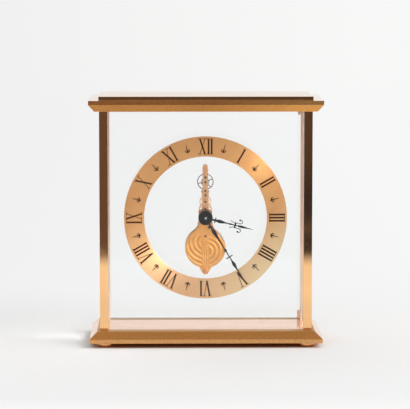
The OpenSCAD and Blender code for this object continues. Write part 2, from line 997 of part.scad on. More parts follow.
// A butterfly key on the barrel arbor's square
module winding_key() {
    y0 = ratchet_y0 + ratchet_t + 0.3;
    color(bright_gilt)
    difference() {
        union() {
            rod(3, y0, y0 + 5.2, barrel_at);
            plate(y0 + 3.2, y0 + 4.7)
                translate([0, barrel_at])
                    for (s = [-1, 1])
                        difference() {
                            translate([s * 6.6, 0])
                                circle(5);
                            translate([s * 6.6, 0])
                                circle(2.4);
                        }
        }
        plate(y0 - 1, y0 + 4)
            translate([-barrel_square - 0.03, barrel_at - barrel_square - 0.03])
                square(2 * barrel_square + 0.06);
        plate(y0 + 4 - eps, y0 + 6)
            translate([0, barrel_at])
                circle(0.6);
    }
}

// Train

// An arbor between the plates, with thinner pivots in its jewels
module wheel_arbor(up) {
    rod(stem_r, bridge_back + 0.15, back_front - 0.15, up);
    rod(tip_r, bridge_front + 0.3, back_front + 0.9, up);
}

module intermediate_wheel() {
    color(gilt) {
        plate(inter_y0, inter_y0 + wheel_t)
            translate([0, inter_at])
                crossed_2d(5.2, 1.8, 5, 0.9)
                    gear_2d(teeth_inter, mod_inter, 90);
        plate(inter_pinion_y[0], inter_pinion_y[1])
            translate([0, inter_at])
                gear_2d(teeth_inter_pinion, mod_barrel, 270 + 180 / teeth_inter_pinion);
        rod(0.9, inter_pinion_y[1], inter_y0, inter_at);
        rod(0.7, bridge_back + 0.2, back_front - 0.15, inter_at);
        rod(tip_r, bridge_front + 0.3, back_front + 1.4, inter_at);
    }
}

module centre_wheel() {
    bore = arbor_rear_r + run_gap;
    color(gilt)
    difference() {
        union() {
            plate(centre_y0, centre_y0 + wheel_t)
                crossed_2d(4.5, 1.5, 4, 0.8)
                    gear_2d(teeth_centre, mod_centre, 90);
            plate(centre_pinion_y[0], centre_pinion_y[1])
                gear_2d(teeth_centre_pinion, mod_inter, 270 + 180 / teeth_centre_pinion);
            rod(1.05, centre_y0 - 0.4, centre_pinion_y[1]);
        }
        rod(bore, centre_y0 - 2, back_front + 1);
    }
}

module third_wheel() {
    color(gilt) {
        plate(third_y0, third_y0 + wheel_t)
            translate([0, third_at])
                crossed_2d(4.4, 1.1, 5, 0.6)
                    gear_2d(teeth_third, mod_third, 90);
        plate(centre_y0 - 0.3, centre_y0 + wheel_t + 0.3)
            translate([0, third_at])
                gear_2d(teeth_pinion, mod_centre, 270 + 180 / teeth_pinion);
        wheel_arbor(third_at);
    }
}

module fourth_wheel() {
    color(gilt) {
        plate(fourth_y0, fourth_y0 + wheel_t)
            translate([0, fourth_at])
                crossed_2d(4.3, 1, 5, 0.6)
                    gear_2d(teeth_fourth, mod_fourth, 90);
        plate(third_y0 - 0.3, third_y0 + wheel_t + 0.3)
            translate([0, fourth_at])
                gear_2d(teeth_pinion, mod_third, 270 + 180 / teeth_pinion);
        wheel_arbor(fourth_at);
    }
}

module escape_wheel() {
    color(gilt) {
        plate(escape_y0, escape_y0 + wheel_t)
            translate([0, escape_at])
                crossed_2d(1.7, 0.8, 4, 0.4)
                    polygon([
                        for (i = [0 : escape_teeth - 1], c = [[2.15, 0], [escape_r, 0.42], [escape_r, 0.6],
                            [2.15, 0.5]])
                            let (a = (i + c[1]) * 360 / escape_teeth)
                            c[0] * [cos(a), sin(a)]
                    ]);
        plate(fourth_y0 - 0.3, fourth_y0 + wheel_t + 0.3)
            translate([0, escape_at])
                gear_2d(teeth_pinion, mod_fourth, 270 + 180 / teeth_pinion);
        wheel_arbor(escape_at);
    }
}

// Escapement

// Where a stone meets the end of its arm, and the size of a stone
stone_x = 3.1;
stone_top = -1.475;
stone_size = [0.5, 0.65];

// Two arms that reach around the escape wheel, and a fork that reaches up to the roller
module pallet_fork() {
    color(steel) {
        plate(escape_y0, escape_y0 + wheel_t)
            translate([0, pallet_at]) {
                circle(0.8);
                for (s = [-1, 1])
                    ribbon_2d([[0, 0], [s * 1.7, -0.15], [s * 2.9, -0.5], [s * stone_x, -1], [s * stone_x, stone_top]],
                        0.7);
                translate([-0.3, 0])
                    square([0.6, 5]);
                for (s = [-1, 1])
                    ribbon_2d([[0, 4.6], [s * 0.5, 5.2], [s * 0.45, 6.3]], 0.3);
            }
        wheel_arbor(pallet_at);
    }
}

module pallet_stones() {
    color(ruby)
    plate(escape_y0 - 0.1, escape_y0 + wheel_t + 0.1)
        for (s = [-1, 1])
            translate([s * stone_x - stone_size[0] / 2, pallet_at + stone_top - stone_size[1]])
                square(stone_size);
}

module balance_wheel() {
    color(bright_gilt)
    plate(balance_y0, balance_y0 + 0.9)
        translate([0, balance_at])
            difference() {
                crossed_2d(balance_r - 0.75, 1, 3, 0.7, 75)
                    circle(balance_r);
                circle(stem_r + fit);
            }
}

module balance_staff() {
    color(steel) {
        wheel_arbor(balance_at);
        rod(collet_r, spring_y0 - 0.1, spring_y0 + 0.7, balance_at);
        rod(1.6, roller_y0, roller_y0 + 0.4, balance_at);
        rod(0.2, roller_y0, escape_y0 - 0.25, balance_at - 1.2);
    }
}

module hairspring() {
    color(blued)
    plate(spring_y0, spring_y0 + 0.4)
        translate([0, balance_at]) {
            ribbon_2d(concat([[0.02, collet_r]], spring_points), spring_ribbon);
        }
}

module hairspring_stud() {
    color(steel)
    plate(bridge_back, spring_y0 + 0.6)
        translate([-0.5, balance_at + spring_out_r + spring_ribbon / 2])
            square([1, 1]);
}

// A ring round the balance jewel with a pointer towards the upper right
module regulator() {
    color(steel)
    plate(bridge_back + 0.05, bridge_back + 0.5)
        translate([0, balance_at])
            difference() {
                union() {
                    circle(1.7);
                    rotate(24)
                        translate([0, -0.3])
                            square([6.6, 0.6]);
                    rotate(204)
                        translate([0, -0.3])
                            square([3.2, 0.6]);
                }
                circle(1.05);
            }
}

// Motion work and hands

// The arbor that carries the minute hand and the setting knob
module centre_arbor() {
    color(steel) {
        rod(arbor_front_r, minute_y0 - 1.3, bridge_back + 0.2);
        rod(arbor_rear_r, bridge_back + 0.2, knob_rear_y + 2.4);
    }
}

module cannon_pinion() {
    y1 = bridge_front - 0.3;
    color(steel)
    difference() {
        union() {
            plate(cover_front - 1.3, y1)
                gear_2d(cannon_teeth, mod_motion, 270);
            rod(cannon_r, minute_y0 - 0.1, cover_front - 1.3);
        }
        rod(arbor_front_r + fit, minute_y0 - 2, bridge_front + 1);
    }
}

module minute_wheel() {
    color(gilt)
    difference() {
        union() {
            plate(cover_front - 1, cover_front - 0.5)
                translate([0, motion_at])
                    gear_2d(minute_teeth, mod_motion, 90 + 180 / minute_teeth);
            plate(dial_back + 0.5, cover_front - 1)
                translate([0, motion_at])
                    gear_2d(minute_pinion_teeth, mod_hour, 90);
        }
        rod(0.3 + run_gap, dial_back, bridge_front, motion_at);
    }
}

module minute_wheel_post() {
    color(steel) {
        rod(0.3, dial_back + 0.4, bridge_back - 0.1, motion_at);
        rod(0.53, bridge_front, bridge_back - 0.1, motion_at);
        rod(0.6, cover_front - 0.4, bridge_front, motion_at);
    }
}

module hour_wheel() {
    color(gilt)
    difference() {
        union() {
            plate(dial_back + 0.6, dial_back + 1.2)
                gear_2d(hour_teeth, mod_hour, 270 + 180 / hour_teeth);
            rod(hour_pipe_r, hour_y0 - 0.2, dial_back + 0.6);
        }
        rod(hour_pipe_bore, hour_y0 - 2, dial_back + 2);
    }
}

// The hour hand: hub disc, collar, leaf, bead, a band with horns and prongs, and a spear
module hour_hand_2d() {
    band = 25.8;
    circle(hub_r, $fn = 96);
    both_sides([
        [0.9, hub_r - 0.4], [0.8, 8], [2.3, 8.05], [2.3, 8.95], [0.8, 9], [1, 9.7], [1.5, 12.1],
        [1.25, 14.2], [0.55, 17.4], [0.45, 20.6], [0.8, 21.6], [0.45, 22.8], [0.45, band - 0.65],
        [2.5, band - 0.6], [2.5, band + 0.6], [0.4, band + 0.65], [0.35, band + 1.8], [0.7, band + 3],
        [1.05, band + 5.2], [0.85, band + 7.2], [0.4, band + 10.6], [0.1, hour_len]
    ]);
    for (s = [-1, 1]) {
        ribbon_2d(concat([[s * 1.95, band - 0.3], [s * 2.1, band + 1.5]],
            arc([s * 3.75, band + 4], 1.55, 90 + s * 90, 90 - s * 100, 14)), 0.6);
        translate([s * 5, band + 3.2])
            circle(0.8, $fn = 24);
        ribbon_2d([[s * 1.7, band + 0.3], [s * 1.9, band - 1.6], [s * 2.5, band - 3.2],
            [s * 3.2, band - 4.6]], 0.5);
    }
}

module minute_hand_2d() {
    cross = 38.7;
    circle(2.6, $fn = 48);
    both_sides([
        [0.9, 2], [0.75, 8.6], [1.9, 8.65], [1.9, 9.45], [0.75, 9.5], [0.9, 10.6], [1.7, 13], [1.5, 15.6],
        [0.75, 20], [0.42, 30.4], [0.7, 30.8], [1.35, 32.6], [0.5, 33.6], [0.42, cross - 0.5],
        [3, cross - 0.45], [3, cross + 0.45], [0.42, cross + 0.5], [0.55, cross + 3.8],
        [1.5, 46], [0.6, 50.4], [0.4, 58], [0.1, minute_len]
    ]);
}

module hour_hand() {
    color(blued)
    plate(hour_y0, hour_y0 + hand_t)
        difference() {
            rotate(-hour_angle)
                hour_hand_2d();
            circle(hour_pipe_r + fit);
        }
}

module minute_hand() {
    color(blued)
    plate(minute_y0, minute_y0 + hand_t)
        difference() {
            rotate(-minute_angle)
                minute_hand_2d();
            circle(cannon_r + fit);
        }
}

module hand_nut() {
    color(blued)
    translate([0, minute_y0 - 0.1, dial_z])
        rotate([90, 0, 0])
            difference() {
                rotate_extrude()
                    polygon(concat([[0, 0], [1.9, 0]], arc([0, 0.3], 1.9, 0, 90, 10)));
                translate([0, 0, -1])
                    cylinder(r = arbor_front_r + fit, h = 2.3);
            }
}

module setting_knob() {
    flutes = 16;
    color(bright_gilt)
    difference() {
        rod(knob_rear_r, knob_rear_y, knob_rear_y + 3);
        rod(arbor_rear_r + fit, knob_rear_y - 1, knob_rear_y + 2.4);
        plate(knob_rear_y - 1, knob_rear_y + 4)
            for (i = [0 : flutes - 1])
                rotate(i * 360 / flutes)
                    translate([knob_rear_r + 0.3, 0])
                        circle(0.5, $fn = 24);
    }
}

echo("least gap between turns of the hairspring", least_gap(spring_points, spring_steps, spring_ribbon));
echo("least gap between turns of the mainspring", least_gap(main_points, main_steps, main_ribbon));

base_plinth();
bottom_cover();
feet();
post_front_left();
post_front_right();
post_rear_left();
post_rear_right();
cap_plate();
cap_step();
case_screws();
front_glass();
side_glass_left();
side_glass_right();
rear_door_glass();
door_hinge_clips();
door_knob();
dial_plate();
chapter_ring();
numerals();
half_hour_marks();
ring_nuts();
front_bridge();
engraved_cover();
back_plate();
pillars();
dial_screws();
movement_screws();
front_jewels();
rear_jewels();
barrel_drum();
barrel_cover();
mainspring();
barrel_arbor();
ratchet_wheel();
click();
click_spring();
winding_key();
intermediate_wheel();
centre_wheel();
third_wheel();
fourth_wheel();
escape_wheel();
pallet_fork();
pallet_stones();
balance_wheel();
balance_staff();
hairspring();
hairspring_stud();
regulator();
centre_arbor();
cannon_pinion();
minute_wheel();
minute_wheel_post();
hour_wheel();
hour_hand();
minute_hand();
hand_nut();
setting_knob();
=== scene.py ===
"""Dressed model of an eight-day desk clock: gilt brass, glass and an in-line skeleton movement.

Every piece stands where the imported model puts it. Lengths in the classes are millimetres, and
metres in Blender. The dial faces -Y and +Z is up.
"""

from __future__ import annotations

import logging
import math
from dataclasses import dataclass, field
from enum import Enum
from typing import Sequence

import bmesh
import bpy
from mathutils import Matrix, Vector

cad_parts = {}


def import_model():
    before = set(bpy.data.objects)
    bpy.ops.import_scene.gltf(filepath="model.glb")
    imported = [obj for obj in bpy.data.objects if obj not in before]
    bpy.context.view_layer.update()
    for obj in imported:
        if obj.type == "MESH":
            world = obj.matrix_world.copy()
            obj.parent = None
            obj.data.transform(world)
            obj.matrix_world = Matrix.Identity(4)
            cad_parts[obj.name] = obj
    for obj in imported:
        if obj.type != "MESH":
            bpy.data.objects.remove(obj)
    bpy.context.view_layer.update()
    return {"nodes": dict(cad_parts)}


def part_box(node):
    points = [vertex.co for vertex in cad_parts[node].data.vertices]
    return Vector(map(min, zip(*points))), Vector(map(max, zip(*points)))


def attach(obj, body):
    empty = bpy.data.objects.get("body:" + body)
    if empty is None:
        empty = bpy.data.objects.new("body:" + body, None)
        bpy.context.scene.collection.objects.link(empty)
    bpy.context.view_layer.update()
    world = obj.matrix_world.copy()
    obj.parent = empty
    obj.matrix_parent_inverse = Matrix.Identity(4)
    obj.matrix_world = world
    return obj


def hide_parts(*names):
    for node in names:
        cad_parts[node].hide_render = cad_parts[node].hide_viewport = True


LOG = logging.getLogger("clock")
MM = 0.001
# The dial's centre above the table, and the barrel's centre above the dial's
DIAL_Z = 105.5
BARREL_UP = -26.8
# Angles in degrees: smooth up to, bevelled from, one flat face up to; and the same for panes
SMOOTH = 32.0
SHARP = 38.0
FLAT = 0.3
PANE_FLAT = 5.0
PANE_SMOOTH = 20.0
PANE_SHARP = 60.0
# A pane's face is ground where less of its normal than this points across the pane
PANE_FACE = 0.9
# How much large faces rule the normals along a broken edge, in percent
LARGE_FACES = 80
# Points this near, in metres, are one point, and a ray that misses an edge by this share of it meets it
MERGE = 1e-6
CLOSE = 1e-9
# The values of a noise between which haze, clouds, grooves and blotches grow, and a fall from 1 to 0
HAZE = (0.42, 0.75)
CLOUDS = (0.4, 0.7)
GROOVES = (0.3, 0.7)
BLOTCHES = (0.35, 0.65)
FALL = (1.0, 0.0)
# What bare metal sets on its shader
BARE = {"Metallic": 1.0}
ORIGIN = Vector((0, 0, 0))

Point = tuple[float, float]
Triple = tuple[float, float, float]
Colour = Triple
Places = list[tuple[Vector, Vector]]
Inputs = dict[str | int, object]
Socket = bpy.types.NodeSocket
Material = bpy.types.Material
Piece = bpy.types.Object
Mesh = bmesh.types.BMesh


class Body(Enum):
    """The moving groups of the clock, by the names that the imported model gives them."""

    CASE = "case"
    DOOR = "rear_door"
    MINUTE = "minute_arbor"
    HOUR = "hour_work"
    MINUTE_WORK = "minute_work"
    BARREL = "barrel"
    WINDING = "winding_arbor"
    CLICK = "click_lever"
    INTERMEDIATE = "intermediate"
    CENTRE = "centre"
    THIRD = "third"
    FOURTH = "fourth"
    ESCAPE = "escape"
    PALLETS = "pallets"
    BALANCE = "balance"
    INDEX = "index"


class Slot(Enum):
    """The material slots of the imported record."""

    GILT_CASE = "gilt_case"
    GILT_BRUSHED = "gilt_brushed"
    MOVEMENT_GILT = "movement_gilt"
    GLASS = "case_glass"
    INK = "dial_ink"
    BLACK = "black_hands"
    STEEL = "steel_parts"
    BLUED = "blued_parts"
    RUBY = "ruby"


class Axis(Enum):
    """The way that a turned piece points, as its turn about X in degrees."""

    UP = 0.0
    FRONT = 90.0
    REAR = -90.0

    def turn(self) -> Matrix:
        """The turn that takes a piece modelled along +Z to this axis."""
        return Matrix.Rotation(math.radians(self.value), 4, "X")


# Node trees


class Graph:
    """A node tree, with short ways to add nodes and to join them."""

    def __init__(self, tree: bpy.types.NodeTree) -> None:
        """Starts from an empty tree.

        Args:
            tree: The tree of a material, a world or a geometry modifier.
        """
        self.tree = tree
        self.tree.nodes.clear()

    def fill(self, node: bpy.types.Node, inputs: Inputs) -> None:
        """Sets or links a node's inputs.

        Args:
            node: The node.
            inputs: Values or output sockets, by the name or number of the node's input.
        """
        for key, value in inputs.items():
            if isinstance(value, Socket):
                self.tree.links.new(value, node.inputs[key])
            else:
                node.inputs[key].default_value = value

    def add(self, kind: str, inputs: Inputs | None = None, **settings: object) -> bpy.types.Node:
        """Adds a node.

        Args:
            kind: The node's type, such as ShaderNodeBump.
            inputs: Values or output sockets, by the name or number of the node's input.
            settings: Values of the node's own properties.

        Returns:
            The new node.
        """
        node = self.tree.nodes.new(kind)
        for key, value in settings.items():
            setattr(node, key, value)
        self.fill(node, inputs or {})
        return node

    def maths(self, operation: str, a: object, b: object = 0.0, c: object = 0.0) -> Socket:
        """Adds a Math node.

        Args:
            operation: The node's operation, such as MULTIPLY.
            a: First value or socket.
            b: Second value or socket.
            c: Third value or socket.

        Returns:
            The node's output socket.
        """
        return self.add("ShaderNodeMath", {0: a, 1: b, 2: c}, operation=operation).outputs[0]

    def spread(
        self, value: object, low: object, high: object, to_low: object = 0.0, to_high: object = 1.0
    ) -> Socket:
        """Maps a value from one range to another, clamped at both ends.

        Args:
            value: The socket that is mapped.
            low: Start of the range that comes in.
            high: End of the range that comes in.
            to_low: Start of the range that goes out.
            to_high: End of the range that goes out.

        Returns:
            The node's output socket.
        """
        inputs = {"Value": value, "From Min": low, "From Max": high, "To Min": to_low, "To Max": to_high}
        return self.add("ShaderNodeMapRange", inputs).outputs["Result"]

    def mix(self, factor: object, a: object, b: object) -> Socket:
        """Mixes two colours.

        Args:
            factor: Share of the second colour.
            a: First colour or socket.
            b: Second colour or socket.

        Returns:
            The node's colour socket.
        """
        first, second = (c if isinstance(c, Socket) else (*c, 1.0) for c in (a, b))
        return self.add("ShaderNodeMix", {0: factor, 6: first, 7: second}, data_type="RGBA").outputs[2]

    def axes(self, vector: Socket) -> Sequence[Socket]:
        """The three parts of a vector."""
        return self.add("ShaderNodeSeparateXYZ", {0: vector}).outputs


class Surface(Graph):
    """The tree of one finish: a Principled shader that reads Object coordinates."""

    def __init__(self, name: str) -> None:
        """Makes the material.

        Args:
            name: The material's name.
        """
        self.material = bpy.data.materials.new(name)
        self.material.use_nodes = True
        super().__init__(self.material.node_tree)
        self.shader = self.add("ShaderNodeBsdfPrincipled")
        self.output = self.add("ShaderNodeOutputMaterial", {"Surface": self.shader.outputs[0]})
        coordinates = self.add("ShaderNodeTexCoord").outputs
        self.place, self.facing = coordinates["Object"], coordinates["Normal"]

    def noise(
        self, scale: float, detail: float, roughness: float = 0.5, place: Socket | None = None
    ) -> Socket:
        """Adds a noise.

        Args:
            scale: Waves per metre.
            detail: How many finer noises it holds.
            roughness: How strong the finer ones are.
            place: Where it is read, if not at the object's own coordinates.

        Returns:
            The value of the noise.
        """
        vector = self.place if place is None else place
        inputs = {"Vector": vector, "Scale": scale, "Detail": detail, "Roughness": roughness}
        return self.add("ShaderNodeTexNoise", inputs).outputs["Fac"]

    def bump(self, height: Socket, strength: float, depth: float) -> Inputs:
        """The shader's normal, bumped by a height of some millimetres."""
        inputs = {"Height": height, "Strength": strength, "Distance": depth * MM}
        return {"Normal": self.add("ShaderNodeBump", inputs).outputs[0]}

    def finish(self, colour: Socket, roughness: object, more: Inputs) -> Material:
        """Fills the shader.

        Args:
            colour: Its base colour.
            roughness: Its roughness.
            more: Values or sockets of its other inputs.

        Returns:
            The finished material.
        """
        self.fill(self.shader, {"Base Color": colour, "Roughness": roughness, **more})
        return self.material

    def thin(self, share: Socket) -> None:
        """Makes a share of the surface clear to rays.

        Args:
            share: The share, from 0 to 1.
        """
        clear = self.add("ShaderNodeBsdfTransparent")
        both = self.add("ShaderNodeMixShader", {0: share, 1: self.shader.outputs[0], 2: clear.outputs[0]})
        self.fill(self.output, {"Surface": both.outputs[0]})


# Finishes


@dataclass(frozen=True)
class PolishedGilt:
    """Gilt brass, buffed bright, with a faint haze and fine buffing lines."""

    name: str
    colour: Colour
    haze: Colour
    roughness: float = 0.12
    haze_size: float = 14.0
    line_size: float = 0.5
    # Painted reflection on the faces towards the dial's side: the first tone low down, the second higher up,
    # between these heights in millimetres
    face: tuple[Colour, Colour] | None = None
    painted_front_heights: Point = (60.0, 100.0)

    def build(self) -> Material:
        """Makes the material. Faces towards the dial's side may carry a painted reflection, pale low down and
        darker higher up.

        Returns:
            The finished material.
        """
        graph = Surface(self.name)
        patch = graph.spread(graph.noise(1 / (self.haze_size * MM), 5.0), *HAZE)
        lines = graph.noise(1 / (self.line_size * MM), 3.0)
        speck = graph.spread(graph.noise(900.0, 6.0, 0.7), 0.66, 0.74, 0.0, 0.12)
        level = graph.spread(patch, 0.0, 1.0, self.roughness, self.roughness + 0.10)
        colour = graph.mix(graph.maths("MULTIPLY", patch, 0.6), self.colour, self.haze)
        # Painted reflection: faces towards the dial's side turn from the pale lower tone to the darker upper
        # one with height
        if self.face:
            low, high = self.painted_front_heights
            up = graph.spread(graph.axes(graph.place)[2], low * MM, high * MM)
            painted_front_mask = graph.spread(graph.axes(graph.facing)[1], -0.9, -0.5, *FALL)
            colour = graph.mix(painted_front_mask, colour, graph.mix(up, *self.face))
        rough = graph.maths("ADD", level, speck)
        return graph.finish(colour, rough, {**graph.bump(lines, 0.04, 0.01), **BARE})


@dataclass(frozen=True)
class PlateGilt:
    """Gilt brass of the case plates: bright inside the panes, satin outside, with painted shade darker on the
    sides and deeper on the bevels.
    """

    name: str
    flat: Colour
    margin: Colour
    bevel: Colour
    side: Colour
    roughness: float = 0.13
    side_roughness: float = 0.34
    margin_roughness: float = 0.5
    inside: Point = (86.7, 26.2)
    # Brighter painted light for the sides and bevels towards the right end, and the span in millimetres over
    # which it grows
    right: tuple[Colour, Colour] | None = None
    painted_light_span: Point = (5.0, 90.0)

    def build(self) -> Material:
        """Makes the material. Its tone follows from where a face lies and how steeply it stands, as painted
        light and shade: sides darker than the tops, and bevels deeper still.

        Sides and bevels may turn to a brighter painted light towards the right end.

        Returns:
            The finished material.
        """
        graph = Surface(self.name)
        part, facing = graph.axes(graph.place), graph.axes(graph.facing)
        steep = graph.maths("ABSOLUTE", facing[2])
        end = graph.spread(graph.maths("ABSOLUTE", facing[0]), 0.35, 0.6)
        upright = graph.spread(steep, 0.2, 0.4, *FALL)
        leaning = (graph.spread(steep, 0.3, 0.5), graph.spread(steep, 0.85, 0.97, *FALL))
        slope = graph.maths("MULTIPLY", *leaning)
        painted_bevel_shade = graph.maths("MULTIPLY", slope, graph.spread(end, 0.0, 1.0, 1.0, 0.1))
        beyond = [
            graph.spread(graph.maths("ABSOLUTE", part[k]), (half - 0.1) * MM, (half + 0.1) * MM)
            for k, half in enumerate(self.inside)
        ]
        not_end = graph.spread(end, 0.0, 1.0, *FALL)
        outside = graph.maths("MULTIPLY", graph.maths("MAXIMUM", *beyond), not_end)
        patch = graph.spread(graph.noise(70.0, 5.0), *HAZE)
        grain = graph.spread(graph.noise(620.0, 5.0), *BLOTCHES, -0.08, 0.09)
        fine = graph.noise(1600.0, 5.0)
        # Painted light and shade by facing: sides and bevels darker than the tops, and brighter towards the
        # right end where right is given
        side, bevel = self.side, self.bevel
        if self.right:
            painted_light_rightward = graph.spread(part[0], *(x * MM for x in self.painted_light_span))
            side, bevel = (graph.mix(painted_light_rightward, *pair) for pair in zip((side, bevel), self.right))
        flat = graph.mix(outside, self.flat, self.margin)
        painted_by_facing = graph.mix(painted_bevel_shade, graph.mix(upright, flat, side), bevel)
        tinted = graph.mix(graph.maths("MULTIPLY", patch, 0.16), painted_by_facing, self.bevel)
        uneven = graph.maths("MULTIPLY_ADD", grain, graph.maths("ADD", painted_bevel_shade, upright), 1.0)
        colour = graph.add("ShaderNodeVectorMath", {0: tinted, "Scale": uneven}, operation="SCALE").outputs[0]
        level = graph.spread(outside, 0.0, 1.0, self.roughness, self.margin_roughness)
        sides = graph.spread(upright, 0.0, 1.0, level, self.side_roughness)
        rough = graph.maths("ADD", sides, graph.spread(patch, 0.0, 1.0, 0.0, 0.02))
        return graph.finish(colour, rough, {**graph.bump(fine, 0.03, 0.01), **BARE})


@dataclass(frozen=True)
class TurnedGilt:
    """Gilt brass brushed in circles around the dial's centre."""

    name: str
    colour: Colour
    shade: Colour
    roughness: float = 0.42
    anisotropy: float = 0.86
    groove: float = 0.18
    lacquer: float = 0.5
    # Painted reflection, paler, over the lower half of the ring, and a painted highlight towards its lower
    # right
    low: Colour = (0.86, 0.51, 0.26)
    painted_highlight: Colour = (1.0, 0.80, 0.48)

    def build(self) -> Material:
        """Makes the material. Its brushing reads the distance from the dial's centre. Its lower half has a
        paler painted reflection, and its lower right a painted highlight.

        Returns:
            The finished material.
        """
        graph = Surface(self.name)
        part = graph.axes(graph.place)
        up = graph.maths("SUBTRACT", part[2], DIAL_Z * MM)
        squares = [graph.maths("POWER", side, 2.0) for side in (part[0], up)]
        radius = graph.maths("SQRT", graph.maths("ADD", *squares))
        inputs = {"W": radius, "Scale": 1 / (self.groove * MM), "Detail": 4.0}
        rings = graph.add("ShaderNodeTexNoise", inputs, noise_dimensions="1D").outputs["Fac"]
        cloud = graph.spread(graph.noise(90.0, 4.0), *CLOUDS, 0.0, 0.4)
        tone = graph.maths("ADD", graph.spread(rings, *GROOVES, 0.0, 0.5), cloud)
        brushed = graph.mix(tone, self.colour, self.shade)
        # Painted reflection and highlight: paler below the dial's centre, and palest towards the lower right
        painted_lower_reflection = graph.mix(graph.spread(up, -50 * MM, 0.0, *FALL), brushed, self.low)
        corner = graph.spread(graph.maths("SUBTRACT", part[0], up), 50 * MM, 95 * MM, 0.0, 0.8)
        tangent = graph.add("ShaderNodeTangent", direction_type="RADIAL", axis="Y")
        return graph.finish(
            graph.mix(corner, painted_lower_reflection, self.painted_highlight),
            graph.spread(rings, *GROOVES, self.roughness - 0.05, self.roughness + 0.06),
            {
                **graph.bump(rings, 0.12, 0.02),
                **BARE,
                "Tangent": tangent.outputs[0],
                "Anisotropic": self.anisotropy,
                "Anisotropic Rotation": 0.25,
                "Coat Weight": self.lacquer,
                "Coat Roughness": 0.3,
            },
        )


@dataclass(frozen=True)
class SatinMetal:
    """Grained metal of the movement: gilt, steel or blued steel."""

    name: str
    colour: Colour
    shade: Colour
    roughness: float = 0.3
    grain: float = 0.25

    def build(self) -> Material:
        """Makes the material, with a fine straight grain and a slow change of tone.

        Returns:
            The finished material.
        """
        graph = Surface(self.name)
        along = graph.add("ShaderNodeMapping", {"Vector": graph.place, "Scale": (1.0, 1.0, 0.06)}).outputs[0]
        grain = graph.noise(1 / (self.grain * MM), 3.0, place=along)
        cloud = graph.spread(graph.noise(260.0, 4.0), *CLOUDS, 0.0, 0.6)
        tone = graph.maths("ADD", graph.spread(grain, 0.35, 0.7, 0.0, 0.4), cloud)
        rough = graph.spread(grain, *GROOVES, self.roughness - 0.06, self.roughness + 0.08)
        colour = graph.mix(tone, self.colour, self.shade)
        return graph.finish(colour, rough, {**graph.bump(grain, 0.15, 0.02), **BARE})


@dataclass(frozen=True)
class ChasedGilt:
    """Gilt brass, darker and rougher in its chased hollows."""

    name: str
    high: Colour
    hollow: Colour
    roughness: float = 0.34
    layer: str = "relief"

    def build(self) -> Material:
        """Makes the material. It reads how high each point of the relief stands.

        Returns:
            The finished material.
        """
        graph = Surface(self.name)
        height = graph.add("ShaderNodeAttribute", attribute_name=self.layer).outputs["Fac"]
        cloud = graph.spread(graph.noise(240.0, 5.0), *BLOTCHES, -0.22, 0.22)
        grain = graph.noise(3500.0, 3.0)
        tone = graph.maths("ADD", height, cloud)
        rough = graph.spread(tone, 0.0, 1.0, self.roughness + 0.12, self.roughness)
        colour = graph.mix(graph.spread(tone, 0.0, 1.0), self.hollow, self.high)
        return graph.finish(colour, rough, {**graph.bump(grain, 0.15, 0.02), **BARE})


@dataclass(frozen=True)
class ClearGlass:
    """Clear plate glass with a trace of colour and hardly any dust."""

    name: str
    colour: Colour
    edge: Colour = (0.30, 0.36, 0.34)
    edge_roughness: float = 0.5
    ior: float = 1.3
    layer: str = "ground"

    def build(self) -> Material:
        """Makes the material. Shadow rays go through it, and its ground edges are darker and rough.

        Returns:
            The finished material.
        """
        graph = Surface(self.name)
        smear = graph.spread(graph.noise(26.0, 5.0), 0.5, 0.75, 0.0, 0.12)
        ground = graph.add("ShaderNodeAttribute", attribute_name=self.layer).outputs["Fac"]
        graph.thin(graph.add("ShaderNodeLightPath").outputs["Is Shadow Ray"])
        return graph.finish(
            graph.mix(ground, self.colour, self.edge),
            graph.spread(ground, 0.0, 1.0, 0.0, self.edge_roughness),
            {"Transmission Weight": 1.0, "IOR": self.ior, "Coat Weight": smear, "Coat Roughness": 0.2},
        )


@dataclass(frozen=True)
class Enamel:
    """Dark filled enamel or black lacquer, with a slight unevenness."""

    name: str
    colour: Colour
    worn: Colour
    roughness: float
    coat: float
    shine: float

    def build(self) -> Material:
        """Makes the material.

        Returns:
            The finished material.
        """
        graph = Surface(self.name)
        fine, slow = graph.noise(1800.0, 5.0), graph.spread(graph.noise(150.0, 3.0), *CLOUDS)
        return graph.finish(
            graph.mix(slow, self.colour, self.worn),
            graph.spread(fine, *GROOVES, self.roughness - 0.08, self.roughness + 0.1),
            {
                **graph.bump(fine, 0.2, 0.02),
                "Specular IOR Level": self.shine,
                "Coat Weight": self.coat,
                "Coat Roughness": 0.15,
            },
        )


@dataclass(frozen=True)
class Ruby:
    """Polished synthetic ruby, painted near black-red for the shade of the hole it is set in."""

    name: str
    colour: Colour
    painted_shade: Colour

    def build(self) -> Material:
        """Makes the material.

        Returns:
            The finished material.
        """
        graph = Surface(self.name)
        slow = graph.spread(graph.noise(700.0, 2.0), *BLOTCHES)
        return graph.finish(graph.mix(slow, self.colour, self.painted_shade), 0.15, {"Specular IOR Level": 0.12})


